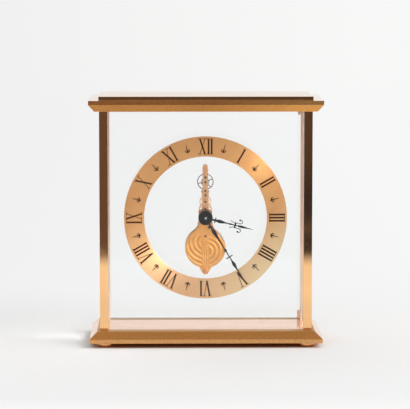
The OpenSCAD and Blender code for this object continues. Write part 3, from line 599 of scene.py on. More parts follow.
class Palette:
    """All finishes of the clock, each made once."""

    def __init__(self) -> None:
        """Makes the materials."""
        # Painted light and shade on the case plates: the deepest tone is painted shade on the bevels, the two
        # pale pink tones painted light on the tops of the cap and its step, and the pink pair a painted
        # reflection on the fronts of the rear posts. Sides are painted darker, and the cap's sides and bevels
        # painted lighter towards the right.
        gilt, tan, painted_shade = (1.0, 0.60, 0.29), (0.64, 0.37, 0.16), (0.54, 0.25, 0.073)
        painted_pale_top, pale = (0.98, 0.80, 0.66), (0.93, 0.73, 0.58)
        painted_post_fronts = ((1.0, 0.77, 0.60), (0.68, 0.48, 0.41))
        self.case = PlateGilt("plate_gilt", (0.97, 0.60, 0.405), tan, painted_shade, (0.78, 0.41, 0.16)).build()
        self.cap = PlateGilt(
            "cap_gilt", painted_pale_top, painted_pale_top, painted_shade, (0.84, 0.36, 0.11), margin_roughness=0.14,
            right=((1.0, 0.55, 0.19), (0.80, 0.38, 0.105)),
        ).build()
        self.step = PlateGilt("step_gilt", pale, pale, painted_shade, (0.50, 0.28, 0.105), 0.14, 0.22, 0.14).build()
        self.rear_post = PolishedGilt(
            "satin_post_gilt", (1.0, 0.66, 0.39), (0.92, 0.58, 0.32), 0.34, 30.0, face=painted_post_fronts
        ).build()
        self.post = PolishedGilt("post_gilt", gilt, (0.92, 0.53, 0.24), 0.05, 30.0).build()
        self.small = PolishedGilt(
            "small_gilt", (0.95, 0.56, 0.26), (0.82, 0.45, 0.19), 0.18, 4.0, 0.2
        ).build()
        self.ring = TurnedGilt("turned_gilt", (0.83, 0.43, 0.16), (0.71, 0.33, 0.11)).build()
        self.plate = SatinMetal("satin_gilt", (0.76, 0.42, 0.225), (0.60, 0.29, 0.135), 0.34).build()
        self.cover = ChasedGilt("chased_gilt", (1.0, 0.50, 0.155), (0.76, 0.32, 0.08), 0.35).build()
        self.wheel = SatinMetal("gilt_wheels", (0.96, 0.61, 0.38), (0.84, 0.49, 0.28), 0.42, 0.12).build()
        self.copper = SatinMetal("coppery_balance", (0.27, 0.13, 0.10), (0.19, 0.09, 0.07), 0.3, 0.12).build()
        self.steel = SatinMetal("polished_steel", (0.62, 0.61, 0.60), (0.45, 0.44, 0.44), 0.2, 0.12).build()
        self.blued = SatinMetal("blued_steel", (0.07, 0.07, 0.10), (0.10, 0.06, 0.06), 0.25, 0.12).build()
        self.nut = SatinMetal("grey_nut", (0.40, 0.43, 0.48), (0.28, 0.31, 0.36), 0.36, 0.12).build()
        self.glass = ClearGlass("clear_glass", (0.996, 1.0, 0.998)).build()
        self.ink = Enamel("dial_enamel", (0.050, 0.012, 0.002), (0.078, 0.021, 0.003), 0.6, 0.0, 0.0).build()
        self.black = Enamel(
            "black_lacquer", (0.018, 0.018, 0.019), (0.028, 0.027, 0.027), 0.4, 0.08, 0.15
        ).build()
        # Painted shade: the ruby is painted near black-red for the shade in the jewels' holes
        self.ruby = Ruby("ruby", (0.11, 0.020, 0.007), (0.060, 0.012, 0.005)).build()


# Meshes


def link_object(name: str, mesh: bpy.types.Mesh) -> Piece:
    """Makes an object of a mesh and links it to the scene.

    Args:
        name: The object's name.
        mesh: Its mesh.

    Returns:
        The new object.
    """
    obj = bpy.data.objects.new(name, mesh)
    bpy.context.scene.collection.objects.link(obj)
    return obj


def soften(mesh: bpy.types.Mesh, smooth_to: float) -> None:
    """Shades a mesh smooth, except over its sharp edges.

    Args:
        mesh: The mesh.
        smooth_to: Angle between faces, in degrees, up to which an edge is smooth.
    """
    mesh.polygons.foreach_set("use_smooth", [True] * len(mesh.polygons))
    mesh.set_sharp_from_angle(angle=math.radians(smooth_to))
    mesh.update()


def from_bmesh(name: str, bm: Mesh, smooth_to: float = SMOOTH) -> Piece:
    """Turns a bmesh into an object, smooth except over its sharp edges.

    Args:
        name: The object's name.
        bm: The mesh, which is freed.
        smooth_to: Angle between faces, in degrees, up to which an edge is smooth.

    Returns:
        The new object, at the origin.
    """
    mesh = bpy.data.meshes.new(name)
    bm.to_mesh(mesh)
    bm.free()
    soften(mesh, smooth_to)
    return link_object(name, mesh)


def closed(name: str, bm: Mesh, smooth_to: float = SMOOTH) -> Piece:
    """Turns a closed bmesh into an object, with its faces outwards."""
    bmesh.ops.recalc_face_normals(bm, faces=bm.faces)
    return from_bmesh(name, bm, smooth_to)


def bridge(bm: Mesh, low: Sequence[bmesh.types.BMVert], high: Sequence[bmesh.types.BMVert]) -> None:
    """Joins two closed rows of points by faces.

    Args:
        bm: The mesh that holds them.
        low: One row, which may be a single point.
        high: The other row, of as many points or one.
    """
    count = max(len(low), len(high))
    for k in range(count):
        n = (k + 1) % count
        corners = (low[k % len(low)], low[n % len(low)], high[n % len(high)], high[k % len(high)])
        bm.faces.new(list(dict.fromkeys(corners)))


def baked(obj: Piece) -> Piece:
    """Replaces an object's mesh by what its modifiers make of it, and removes them.

    Args:
        obj: The object with live modifiers.

    Returns:
        The same object, with a plain mesh.
    """
    bpy.context.view_layer.update()
    evaluated = obj.evaluated_get(bpy.context.evaluated_depsgraph_get())
    mesh = bpy.data.meshes.new_from_object(evaluated)
    mesh.name = obj.name
    obj.modifiers.clear()
    old = obj.data
    obj.data = mesh
    bpy.data.meshes.remove(old)
    return obj


def bevel(obj: Piece, edge: float, segments: int, sharp: float) -> bpy.types.BevelModifier:
    """Bevels the sharp edges of a piece.

    Args:
        obj: The piece.
        edge: Width of the bevel, in millimetres.
        segments: Facets across it.
        sharp: Angle between faces, in degrees, from which an edge counts as sharp.

    Returns:
        The live modifier.
    """
    modifier = obj.modifiers.new("edge", "BEVEL")
    modifier.width = edge * MM
    modifier.segments = segments
    modifier.limit_method = "ANGLE"
    modifier.angle_limit = math.radians(sharp)
    return modifier


def lathe(name: str, profile: Sequence[Point], axis: Axis, segments: int, centre: Vector = ORIGIN) -> Piece:
    """Turns a profile around an axis.

    Args:
        name: The object's name.
        profile: Radius and height of each point, in millimetres. One that ends where it starts is a ring.
        axis: The way that the height runs.
        segments: Steps around the axis.
        centre: Where height zero is, in millimetres.

    Returns:
        The new object.
    """
    bm = bmesh.new()
    turns = [2 * math.pi * k / segments for k in range(segments)]
    ring = profile[0] == profile[-1]
    rows = []
    for radius, height in profile[:-1] if ring else profile:
        r, h = radius * MM, height * MM
        around = [(r * math.cos(t), r * math.sin(t), h) for t in turns] if radius else [(0, 0, h)]
        rows.append([bm.verts.new(place) for place in around])
    for low, high in zip(rows, rows[1:] + (rows[:1] if ring else [])):
        bridge(bm, low, high)
    bmesh.ops.transform(bm, matrix=Matrix.Translation(centre * MM) @ axis.turn(), verts=bm.verts)
    return closed(name, bm)


def rounded(profile: Sequence[Point], size: float) -> list[Point]:
    """Cuts each corner of a ring's profile with two small facets.

    Args:
        profile: The corners, in order.
        size: How far from each corner the cut starts, in millimetres.

    Returns:
        The profile with its corners cut, ending where it starts.
    """
    points = [Vector(p) for p in profile]
    out = []
    for k, here in enumerate(points):
        around = (points[k - 1], points[(k + 1) % len(points)])
        a, b = (here + (other - here).normalized() * size for other in around)
        out += [tuple(a), tuple((a + b) * 0.25 + here * 0.5), tuple(b)]
    return out + out[:1]


def arc(centre: Point, radius: float, start: float, end: float, steps: int) -> list[Point]:
    """Points of an arc, its angles in degrees."""
    turns = [math.radians(start + (end - start) * k / steps) for k in range(steps + 1)]
    return [(centre[0] + radius * math.cos(t), centre[1] + radius * math.sin(t)) for t in turns]


# Geometry node trees


class NodeTool:
    """A geometry node tree with named inputs, whose result becomes a plain mesh."""

    def __init__(self, name: str, kinds: dict[str, str]) -> None:
        """Starts the tree.

        Args:
            name: The tree's name.
            kinds: The kind of each input, by its name.
        """
        self.tree = bpy.data.node_groups.new(name, "GeometryNodeTree")
        face = self.tree.interface
        self.inputs = {
            key: face.new_socket(key, in_out="INPUT", socket_type="NodeSocket" + kind).identifier
            for key, kind in kinds.items()
        }
        face.new_socket("Result", in_out="OUTPUT", socket_type="NodeSocketGeometry")
        self.graph = Graph(self.tree)
        self.given = self.graph.add("NodeGroupInput").outputs

    def end(self, shape: Socket) -> None:
        """Makes what the tree gives one real mesh in its finish.

        Args:
            shape: The geometry, which may hold instances.
        """
        real = self.graph.add("GeometryNodeRealizeInstances", {"Geometry": shape})
        inputs = {"Geometry": real.outputs[0], "Material": self.given["Finish"]}
        dressed = self.graph.add("GeometryNodeSetMaterial", inputs)
        self.graph.add("NodeGroupOutput", {0: dressed.outputs[0]})

    def run(self, obj: Piece, values: dict[str, object], smooth_to: float) -> Piece:
        """Runs the tree on an object.

        Args:
            obj: The object.
            values: The tree's inputs by name, lengths in metres.
            smooth_to: Angle between faces, in degrees, up to which an edge is smooth.

        Returns:
            The same object, with the result as its plain mesh.
        """
        modifier = obj.modifiers.new("shape", "NODES")
        modifier.node_group = self.tree
        for key, value in values.items():
            modifier[self.inputs[key]] = value
        baked(obj)
        soften(obj.data, smooth_to)
        return obj


class RepeatTree(NodeTool):
    """Sets one piece at each point of a mesh, turned by an attribute of the point."""

    def __init__(self) -> None:
        """Builds the tree."""
        kinds = {"Points": "Geometry", "Piece": "Object", "Scale": "Float", "Finish": "Material"}
        super().__init__("repeat_at_points", kinds)
        piece = self.graph.add("GeometryNodeObjectInfo", {"Object": self.given["Piece"]})
        turn = self.graph.add("GeometryNodeInputNamedAttribute", {"Name": "turn"}, data_type="FLOAT_VECTOR")
        placed = self.graph.add(
            "GeometryNodeInstanceOnPoints",
            {
                "Points": self.given["Points"],
                "Instance": piece.outputs["Geometry"],
                "Rotation": turn.outputs["Attribute"],
                "Scale": self.given["Scale"],
            },
        )
        self.end(placed.outputs[0])

    def make(self, name: str, piece: Piece, places: Places, finish: Material) -> Piece:
        """Repeats a piece.

        Args:
            name: The new object's name.
            piece: The piece to repeat, modelled around the origin. It is removed afterwards.
            places: Place, in millimetres, and turn, in radians, of each copy.
            finish: The material.

        Returns:
            One plain mesh object that holds all the copies.
        """
        mesh = bpy.data.meshes.new(name)
        mesh.from_pydata([tuple(place * MM) for place, _ in places], [], [])
        turns = mesh.attributes.new("turn", "FLOAT_VECTOR", "POINT")
        turns.data.foreach_set("vector", [v for _, turn in places for v in turn])
        values = {"Piece": piece, "Scale": 1.0, "Finish": finish}
        obj = self.run(link_object(name, mesh), values, SMOOTH)
        old = piece.data
        bpy.data.objects.remove(piece)
        bpy.data.meshes.remove(old)
        if "turn" in obj.data.attributes:
            obj.data.attributes.remove(obj.data.attributes["turn"])
        return obj


class RibbonTree(NodeTool):
    """Winds a flat ribbon into a spiral around the depth axis."""

    def __init__(self) -> None:
        """Builds the tree."""
        floats = ("Turns", "Inner radius", "Outer radius", "Start angle", "Ribbon", "Depth")
        kinds = {**dict.fromkeys(floats, "Float"), "Steps": "Int", "Place": "Vector", "Finish": "Material"}
        super().__init__("wound_ribbon", kinds)
        add, given = self.graph.add, self.given
        spiral = add(
            "GeometryNodeCurveSpiral",
            {
                "Resolution": given["Steps"],
                "Rotations": given["Turns"],
                "Start Radius": given["Inner radius"],
                "End Radius": given["Outer radius"],
                "Height": 0.0,
            },
        )
        angle = add("ShaderNodeCombineXYZ", {2: given["Start angle"]})
        spun = add("GeometryNodeTransform", {"Geometry": spiral.outputs[0], "Rotation": angle.outputs[0]})
        quarter = (math.pi / 2, 0.0, 0.0)
        stand = {"Geometry": spun.outputs[0], "Translation": given["Place"], "Rotation": quarter}
        upright = add("GeometryNodeTransform", stand)
        sizes = {"Width": given["Ribbon"], "Height": given["Depth"]}
        flat = add("GeometryNodeCurvePrimitiveQuadrilateral", sizes)
        sweep = {"Curve": upright.outputs[0], "Profile Curve": flat.outputs[0], "Fill Caps": True}
        self.end(add("GeometryNodeCurveToMesh", sweep).outputs[0])


# Workshop


@dataclass
class Workshop:
    """Makes the pieces and registers each with the frame."""

    nodes: dict[str, Piece]
    palette: Palette
    repeat: RepeatTree
    ribbon: RibbonTree
    made: list[str] = field(default_factory=list)

    def register(self, obj: Piece, body: Body, slot: Slot, finish: Material, *replaced: str) -> Piece:
        """Dresses a piece and makes it ride on its body.

        Args:
            obj: The piece, at the origin.
            body: The body that it moves with.
            slot: The record's material slot; not used.
            finish: Its material.
            replaced: CAD nodes that it stands for.

        Returns:
            The same piece.
        """
        obj.data.materials.clear()
        obj.data.materials.append(finish)
        obj.data.polygons.foreach_set("material_index", [0] * len(obj.data.polygons))
        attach(obj, body.value)
        if replaced:
            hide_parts(*replaced)
        self.made.append(obj.name)
        LOG.info("%s: %d faces, on %s", obj.name, len(obj.data.polygons), body.value)
        return obj

    def merged_copy(self, node: str) -> Mesh:
        """Copies a CAD node, merged and with its flat faces whole.

        Args:
            node: The CAD node's name.

        Returns:
            The merged mesh.
        """
        bm = bmesh.new()
        bm.from_mesh(self.nodes[node].data)
        bmesh.ops.remove_doubles(bm, verts=bm.verts, dist=MERGE)
        bmesh.ops.dissolve_limit(bm, angle_limit=math.radians(FLAT), verts=bm.verts, edges=bm.edges)
        return bm

    def machined(
        self, node: str, body: Body, slot: Slot, finish: Material, edge: float = 0.0, segments: int = 2
    ) -> None:
        """Builds a node anew with broken edges, as a machined piece has.

        Args:
            node: The CAD node that gives the shape.
            body: The body that it moves with.
            slot: The record's material slot.
            finish: Its material.
            edge: Width of the broken edges, in millimetres. Zero leaves them sharp.
            segments: Facets across a broken edge.
        """
        obj = from_bmesh("dressed_" + node, self.merged_copy(node))
        if edge > 0:
            self.break_edges(obj, edge, segments)
        self.register(obj, body, slot, finish, node)

    @staticmethod
    def break_edges(obj: Piece, edge: float, segments: int) -> None:
        """Rounds the sharp edges of a piece a little.

        Args:
            obj: The piece.
            edge: Width of the broken edges, in millimetres.
            segments: Facets across a broken edge.
        """
        rounding = bevel(obj, edge, segments, SHARP)
        rounding.miter_outer = "MITER_ARC"
        rounding.use_clamp_overlap = True
        normals = obj.modifiers.new("normals", "WEIGHTED_NORMAL")
        normals.keep_sharp = True
        normals.weight = LARGE_FACES
        baked(obj)

    def pane(self, node: str, body: Body, edge: float) -> None:
        """Builds a flat pane with ground edges.

        Args:
            node: The CAD node that gives the shape.
            body: The body that it moves with.
            edge: Width of the ground edges, in millimetres.
        """
        obj = from_bmesh("pane_" + node, self.merged_copy(node), PANE_FLAT)
        bevel(obj, edge, 1, PANE_SHARP)
        baked(obj)
        soften(obj.data, PANE_SMOOTH)
        thin = min(range(3), key=lambda k: obj.dimensions[k])
        ground = obj.data.attributes.new("ground", "FLOAT", "FACE")
        for face in obj.data.polygons:
            ground.data[face.index].value = float(abs(face.normal[thin]) < PANE_FACE)
        self.register(obj, body, Slot.GLASS, self.palette.glass, node)

    def repeated(
        self, name: str, piece: Piece, places: Places, slot: Slot, finish: Material, *replaced: str
    ) -> None:
        """Repeats a piece of the case.

        Args:
            name: The new object's name.
            piece: The piece, around the origin.
            places: Place, in millimetres, and turn, in radians, of each copy.
            slot: The record's material slot.
            finish: Its material.
            replaced: CAD nodes that the copies stand for.
        """
        self.register(self.repeat.make(name, piece, places, finish), Body.CASE, slot, finish, *replaced)


# Studio


@dataclass
class Studio:
    """Camera, floor, soft light and the pale room that the metal reflects. Its lengths are metres."""

    eye: Triple = (-0.027216, -1.899806, 0.331505)
    pitch: float = 0.11289
    yaw: float = 0.01413
    lens: float = 197.86
    floor_radius: float = 4.0
    table_edge: float = -0.53
    fill: float = 0.68
    sun: float = 1.7
    sun_width: float = 38.0
    sun_way: Triple = (0.78, -0.45, 0.62)
    glint: float = 1.9
    glint_width: float = 22.0
    glint_way: Triple = (0.75, -0.52, 0.49)
    paper: float = 0.91
    # A warm brown painted shadow under the clock, and its half width and half depth in metres
    painted_shadow: Colour = (0.66, 0.34, 0.17)
    painted_shadow_half: Point = (0.094, 0.040)
    # Painted light on the floor: lighter towards the right over this half width, and lighter still in front
    # of the span given, in metres
    painted_light_across: float = 0.25
    painted_front_span: Point = (-0.31, -0.25)
    painted_front_light: Colour = (0.99, 0.985, 0.98)

    def camera(self) -> None:
        """Sets the camera at the photograph's viewing angle."""
        data = bpy.data.cameras.new("camera")
        data.sensor_width = 36
        data.sensor_fit = "HORIZONTAL"
        data.lens = self.lens
        obj = bpy.data.objects.new("camera", data)
        obj.location = self.eye
        obj.rotation_euler = (math.pi / 2 - self.pitch, 0, -self.yaw)
        bpy.context.scene.collection.objects.link(obj)
        bpy.context.scene.camera = obj

    def floor(self) -> None:
        """Lays a round pale floor that fades out, and ends earlier for reflections in front.

        Under the clock it carries a warm brown painted shadow, it is painted lighter towards the right and in
        front, and from below it is clear.
        """
        bm = bmesh.new()
        bmesh.ops.create_circle(bm, cap_ends=True, radius=self.floor_radius, segments=96)
        obj = from_bmesh("floor", bm)
        graph = Surface("pale_floor")
        part = graph.axes(graph.place)
        far = graph.add("ShaderNodeVectorMath", {0: graph.place}, operation="LENGTH").outputs["Value"]
        faded = graph.spread(far, self.floor_radius * 0.5, self.floor_radius * 0.98)
        beyond = graph.spread(part[1], self.table_edge - 0.08, self.table_edge + 0.02, *FALL)
        # Painted light: the floor is painted lighter towards the right and lighter still in front
        dim, light = (self.paper - 0.02,) * 3, (self.paper + 0.03,) * 3
        tone = graph.mix(graph.spread(part[0], -self.painted_light_across, self.painted_light_across), dim, light)
        tone = graph.mix(graph.spread(part[1], *self.painted_front_span, *FALL), tone, self.painted_front_light)
        # Painted shadow: a warm brown patch under the clock's footprint
        painted_shadow_sides = [
            graph.spread(graph.maths("ABSOLUTE", part[k]), half - 0.005, half + 0.003, *FALL)
            for k, half in enumerate(self.painted_shadow_half)
        ]
        colour = graph.mix(graph.maths("MULTIPLY", *painted_shadow_sides), tone, self.painted_shadow)
        gone = graph.maths("MULTIPLY", beyond, graph.add("ShaderNodeLightPath").outputs["Is Glossy Ray"])
        behind = graph.add("ShaderNodeNewGeometry").outputs["Backfacing"]
        graph.thin(graph.maths("MAXIMUM", graph.maths("MAXIMUM", faded, gone), behind))
        obj.data.materials.append(graph.finish(colour, 0.9, {"Specular IOR Level": 0.0}))

    def world(self) -> None:
        """Makes an even pale room. Polished metal also sees its dim front and softer ceiling."""
        world = bpy.data.worlds.new("room")
        world.use_nodes = True
        graph = Graph(world.node_tree)
        part = graph.axes(graph.add("ShaderNodeTexCoord").outputs["Generated"])
        path = graph.add("ShaderNodeLightPath").outputs
        across = graph.spread(part[0], -0.10, 0.08)
        pale = graph.mix(across, (0.875, 0.87, 0.87), (0.935, 0.935, 0.93))
        front = graph.mix(across, (0.15, 0.112, 0.105), (0.088, 0.064, 0.062))
        right = graph.spread(part[0], -0.01, 0.05)
        dim = graph.maths("MULTIPLY", graph.spread(part[2], -0.108, -0.085, *FALL), right)
        front = graph.mix(dim, front, (0.042, 0.036, 0.045))
        low = graph.mix(graph.spread(part[1], -0.35, 0.1), front, pale)
        seen = graph.mix(graph.spread(part[2], 0.12, 0.5), low, (0.64, 0.62, 0.60))
        soft = graph.mix(path["Is Glossy Ray"], (self.fill,) * 3, seen)
        direct = graph.maths("MAXIMUM", path["Is Camera Ray"], path["Is Transmission Ray"])
        back = graph.add("ShaderNodeBackground", {"Color": graph.mix(direct, soft, pale), "Strength": 1.0})
        graph.add("ShaderNodeOutputWorld", {"Surface": back.outputs[0]})
        bpy.context.scene.world = world

    def lamp(self, name: str, energy: float, width: float, way: Triple, metal: bool) -> None:
        """Hangs one soft light at the upper right, in front.

        Args:
            name: The light's name.
            energy: Its strength.
            width: Its apparent width, in degrees.
            way: Its direction from the clock.
            metal: Whether only metal mirrors it. Otherwise only matt surfaces see it.
        """
        data = bpy.data.lights.new(name, "SUN")
        data.energy = energy
        data.angle = math.radians(width)
        obj = bpy.data.objects.new(name, data)
        obj.rotation_euler = Vector(way).to_track_quat("Z", "Y").to_euler()
        obj.visible_diffuse = not metal
        obj.visible_glossy = obj.visible_transmission = metal
        bpy.context.scene.collection.objects.link(obj)

    def build(self) -> None:
        """Makes the whole studio."""
        bpy.context.scene.view_settings.view_transform = "Standard"
        self.camera()
        self.floor()
        self.world()
        self.lamp("soft_light", self.sun, self.sun_width, self.sun_way, metal=False)
        self.lamp("glint", self.glint, self.glint_width, self.glint_way, metal=True)


# Sub-assemblies


@dataclass
class Assembly:
    """A group of pieces that the workshop makes."""

    shop: Workshop

    @property
    def look(self) -> Palette:
        """The finishes of the clock."""
        return self.shop.palette


@dataclass
class CaseWork(Assembly):
    """Base, posts, cap, panes and the rear door."""

    plate_edge: float = 0.28
    edge_h: float = 3.5
    bevel_in: float = 6.4
    lip: float = 5.0
    recess: float = 1.2
    post_edge: float = 0.3
    glass_edge: float = 0.25
    foot_h: float = 4.0
    foot_r: float = 7.5
    foot_x: float = 84.5
    foot_y: float = 32.0
    knob_stem: float = 3.3

    def plinth(self) -> None:
        """The bevelled base. The panes fill its grooves, so that its top runs up to the glass."""
        low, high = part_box("base_plinth")
        wide, painted_shade = high.x / MM, high.y / MM
        bottom, top = low.z / MM, high.z / MM
        rows = [
            (self.lip, bottom + self.recess),
            (self.lip, bottom),
            (0.0, bottom),
            (0.0, bottom + self.edge_h),
            (self.bevel_in, top),
        ]
        bm = bmesh.new()
        corners = ((-1, -1), (1, -1), (1, 1), (-1, 1))
        loops = [
            [bm.verts.new((sx * (wide - inset) * MM, sy * (painted_shade - inset) * MM, z * MM)) for sx, sy in corners]
            for inset, z in rows
        ]
        bm.faces.new(loops[0])
        bm.faces.new(loops[-1])
        for here, there in zip(loops, loops[1:]):
            bridge(bm, here, there)
        base = closed("bevelled_base", bm)
        self.shop.break_edges(base, self.plate_edge, 3)
        self.shop.register(base, Body.CASE, Slot.GILT_CASE, self.look.case, "base_plinth")

    def plates(self) -> None:
        """Cap, the stepped plate on it, bottom cover and the four corner posts."""
        look = self.look
        rows = [
            ("cap_plate", look.cap, self.plate_edge, 3),
            ("cap_step", look.step, self.plate_edge, 3),
            ("bottom_cover", look.case, 0.15, 2),
            ("post_front_left", look.post, self.post_edge, 3),
            ("post_front_right", look.post, self.post_edge, 3),
            ("post_rear_left", look.rear_post, self.post_edge, 3),
            ("post_rear_right", look.rear_post, self.post_edge, 3),
        ]
        for node, finish, edge, segments in rows:
            self.shop.machined(node, Body.CASE, Slot.GILT_CASE, finish, edge, segments)

    def feet(self) -> None:
        """Four bun feet with a waist under the base."""
        r, h = self.foot_r, self.foot_h
        profile = [(0.0, 0.0), (r - 3.4, 0.0), *arc((r - 2.6, h - 1.0), 2.6, -70, 15, 12)]
        profile += [(r - 0.5, h - 0.3), (r - 0.5, h), (1.4, h), (1.4, h + 4.0), (0.0, h + 4.0)]
        foot = lathe("foot", profile, Axis.UP, 72)
        spots = [(sx * self.foot_x, sy * self.foot_y, 0) for sx in (-1, 1) for sy in (-1, 1)]
        places = [(Vector(spot), ORIGIN) for spot in spots]
        self.shop.repeated("bun_feet", foot, places, Slot.GILT_CASE, self.look.small, "feet")

    def door_fittings(self) -> None:
        """Hinge clips and the knob of the door."""
        look, stem = self.look, self.knob_stem
        self.shop.machined("door_hinge_clips", Body.DOOR, Slot.GILT_CASE, look.rear_post, edge=0.12)
        low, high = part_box("door_knob")
        centre = Vector(((low.x + high.x) / 2, low.y, (low.z + high.z) / 2)) / MM
        profile = [(0, 0), (2.2, 0), (2.2, 0.8), (1.25, 0.8), (1.25, stem), (2.2, stem), (1.5, stem + 0.5)]
        profile += [(1.3, stem + 1.0), *arc((0, stem + 3.4), 3.0, -52, 90, 16)[:-1], (0.0, stem + 6.4)]
        knob = lathe("turned_door_knob", profile, Axis.REAR, 48, centre)
        self.shop.register(knob, Body.DOOR, Slot.GILT_CASE, look.small, "door_knob")

    def build(self) -> None:
        """Makes the case."""
        self.plinth()
        self.plates()
        self.feet()
        for node in ("front_glass", "side_glass_left", "side_glass_right"):
            self.shop.pane(node, Body.CASE, self.glass_edge)
        self.shop.pane("rear_door_glass", Body.DOOR, self.glass_edge)
        self.door_fittings()
        self.shop.machined("case_screws", Body.CASE, Slot.STEEL, self.look.steel, edge=0.1)


@dataclass
class Dial(Assembly):
    """Clear dial plate, chapter ring, numerals, marks and what holds them."""

    front: float = -5.5
    back: float = -4.02
    outer: float = 69.0
    width: float = 17.0
    cut: float = 0.22
    mark_height: float = 0.2
    mark_step: float = 0.004
    stroke_end: float = 0.09
    stroke_steps: int = 8
    nut_depth: float = -1.0

    def around(self, count: int, start: float, depth: float) -> Places:
        """Places around the dial, on the middle of the ring.

        Args:
            count: How many.
            start: Angle of the first, clockwise from twelve, in degrees.
            depth: Y of all of them, in millimetres.

        Returns:
            Place and turn of each.
        """
        radius = self.outer - self.width / 2
        places = []
        for k in range(count):
            angle = math.radians(start + k * 360 / count)
            place = Vector((radius * math.sin(angle), depth, DIAL_Z + radius * math.cos(angle)))
            places.append((place, Vector((0, angle, 0))))
        return places

    def ring(self) -> None:
        """The flat brushed ring with finely broken edges, on four feet with round nuts behind the plate."""
        look, thick, inner = self.look, self.back - self.front, self.outer - self.width
        profile = rounded([(self.outer, 0), (self.outer, thick), (inner, thick), (inner, 0)], self.cut)
        ring = lathe("brushed_ring", profile, Axis.FRONT, 288, Vector((0, self.back, DIAL_Z)))
        self.shop.register(ring, Body.CASE, Slot.GILT_BRUSHED, look.ring, "chapter_ring")
        pin = lathe("pin", [(0, 0), (0.9, 0), (0.9, 4.4), (0.7, 4.6), (0, 4.6)], Axis.REAR, 24)
        self.shop.repeated("ring_feet", pin, self.around(4, 45, self.back), Slot.GILT_BRUSHED, look.small)
        facets = rounded([(0.95, 0), (2.2, 0), (2.2, 1.2), (0.95, 1.2)], 0.15)
        nut = lathe("nut", [(0.95, 0), *facets[3:-1], (0.95, 0)], Axis.REAR, 32)
        places = self.around(4, 45, self.nut_depth)
        self.shop.repeated("turned_ring_nuts", nut, places, Slot.MOVEMENT_GILT, look.small, "ring_nuts")

    def leaf(self, bm: Mesh, foot: Point, tip: Point, width: float, bend: float, height: float) -> None:
        """Adds one raised leaf or stroke to the half-hour mark.

        Args:
            bm: The mesh of the mark, in the front view.
            foot: Where the leaf starts, in millimetres.
            tip: Where it ends.
            width: Its greatest width.
            bend: How far its middle swings to the left.
            height: How high it stands.
        """
        a, b = Vector(foot), Vector(tip)
        side = Vector((a.y - b.y, b.x - a.x)).normalized()
        left, right = [], []
        for k in range(self.stroke_steps + 1):
            share = k / self.stroke_steps
            swell = math.sin(math.pi * share)
            middle = a.lerp(b, share) + side * bend * swell
            half = side * (self.stroke_end + (width / 2 - self.stroke_end) * swell**0.8)
            left.append(middle + half)
            right.append(middle - half)
        top, under = (
            [bm.verts.new((p.x * MM, -up * MM, p.y * MM)) for p in right + left[::-1]] for up in (height, 0)
        )
        bm.faces.new(top)
        bm.faces.new(under[::-1])
        bridge(bm, top, under)

    def marks(self) -> None:
        """Twelve small leaved marks for the half hours."""
        strokes = [
            ((0, -0.6), (0, -3.95), 1.35, 0.0),
            ((0, -1.0), (0, 3.9), 0.55, 0.0),
            ((-0.65, 1.1), (0.65, 1.1), 0.45, 0.0),
            ((0.1, -3.1), (2.05, -0.9), 0.95, -0.45),
            ((-0.1, -3.1), (-2.05, -0.9), 0.95, 0.45),
            ((0.15, -1.4), (1.25, -0.1), 0.5, 0.0),
            ((-0.15, -1.4), (-1.25, -0.1), 0.5, 0.0),
        ]
        bm = bmesh.new()
        for k, stroke in enumerate(strokes):
            self.leaf(bm, *stroke, self.mark_height + self.mark_step * k)
        mark, places = closed("mark", bm), self.around(12, 15, self.front)
        self.shop.repeated("leaved_marks", mark, places, Slot.INK, self.look.ink, "half_hour_marks")

    def build(self) -> None:
        """Makes the dial."""
        self.shop.pane("dial_plate", Body.CASE, edge=0.2)
        self.ring()
        self.marks()
        self.shop.machined("numerals", Body.CASE, Slot.INK, self.look.ink, edge=0.05, segments=1)
        self.shop.machined("dial_screws", Body.CASE, Slot.MOVEMENT_GILT, self.look.plate, edge=0.08)


@dataclass
class Hands(Assembly):
    """Hour and minute hand, their nut and the knob that sets them."""

    edge: float = 0.13
    collar_h: float = 0.8
    dome_r: float = 1.1

    def nut(self) -> None:
        """The nut at the very front: a bright dome in a black collar."""
        low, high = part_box("hand_nut")
        centre = Vector((0, high.y / MM, DIAL_Z))
        tall, h, r = (high.y - low.y) / MM, self.collar_h, self.dome_r
        profile = [(0.52, 0), (1.9, 0), (1.9, 0.35), (1.75, 0.6), (1.5, 0.75), (1.2, h), (0.52, h), (0.52, 0)]
        collar = lathe("nut_collar", profile, Axis.FRONT, 48, centre)
        self.shop.register(collar, Body.MINUTE, Slot.BLACK, self.look.black, "hand_nut")
        profile = [(0, 0.05), (r, 0.05), (r, 0.9), *arc((0, tall - r), r, 10, 90, 10)[:-1], (0.0, tall)]
        dome = lathe("nut_dome", profile, Axis.FRONT, 48, centre)
        self.shop.register(dome, Body.MINUTE, Slot.BLACK, self.look.nut)

    def build(self) -> None:
        """Makes the hands."""
        shop, look = self.shop, self.look
        shop.machined("hour_hand", Body.HOUR, Slot.BLACK, look.black, self.edge)
        shop.machined("minute_hand", Body.MINUTE, Slot.BLACK, look.black, self.edge)
        self.nut()
        shop.machined("setting_knob", Body.MINUTE, Slot.MOVEMENT_GILT, look.small, edge=0.12)


def within(value: float, low: float, high: float) -> float:
    """How far a value has passed from a low to a high limit, from 0 to 1."""
    return min(max((value - low) / (high - low), 0.0), 1.0)


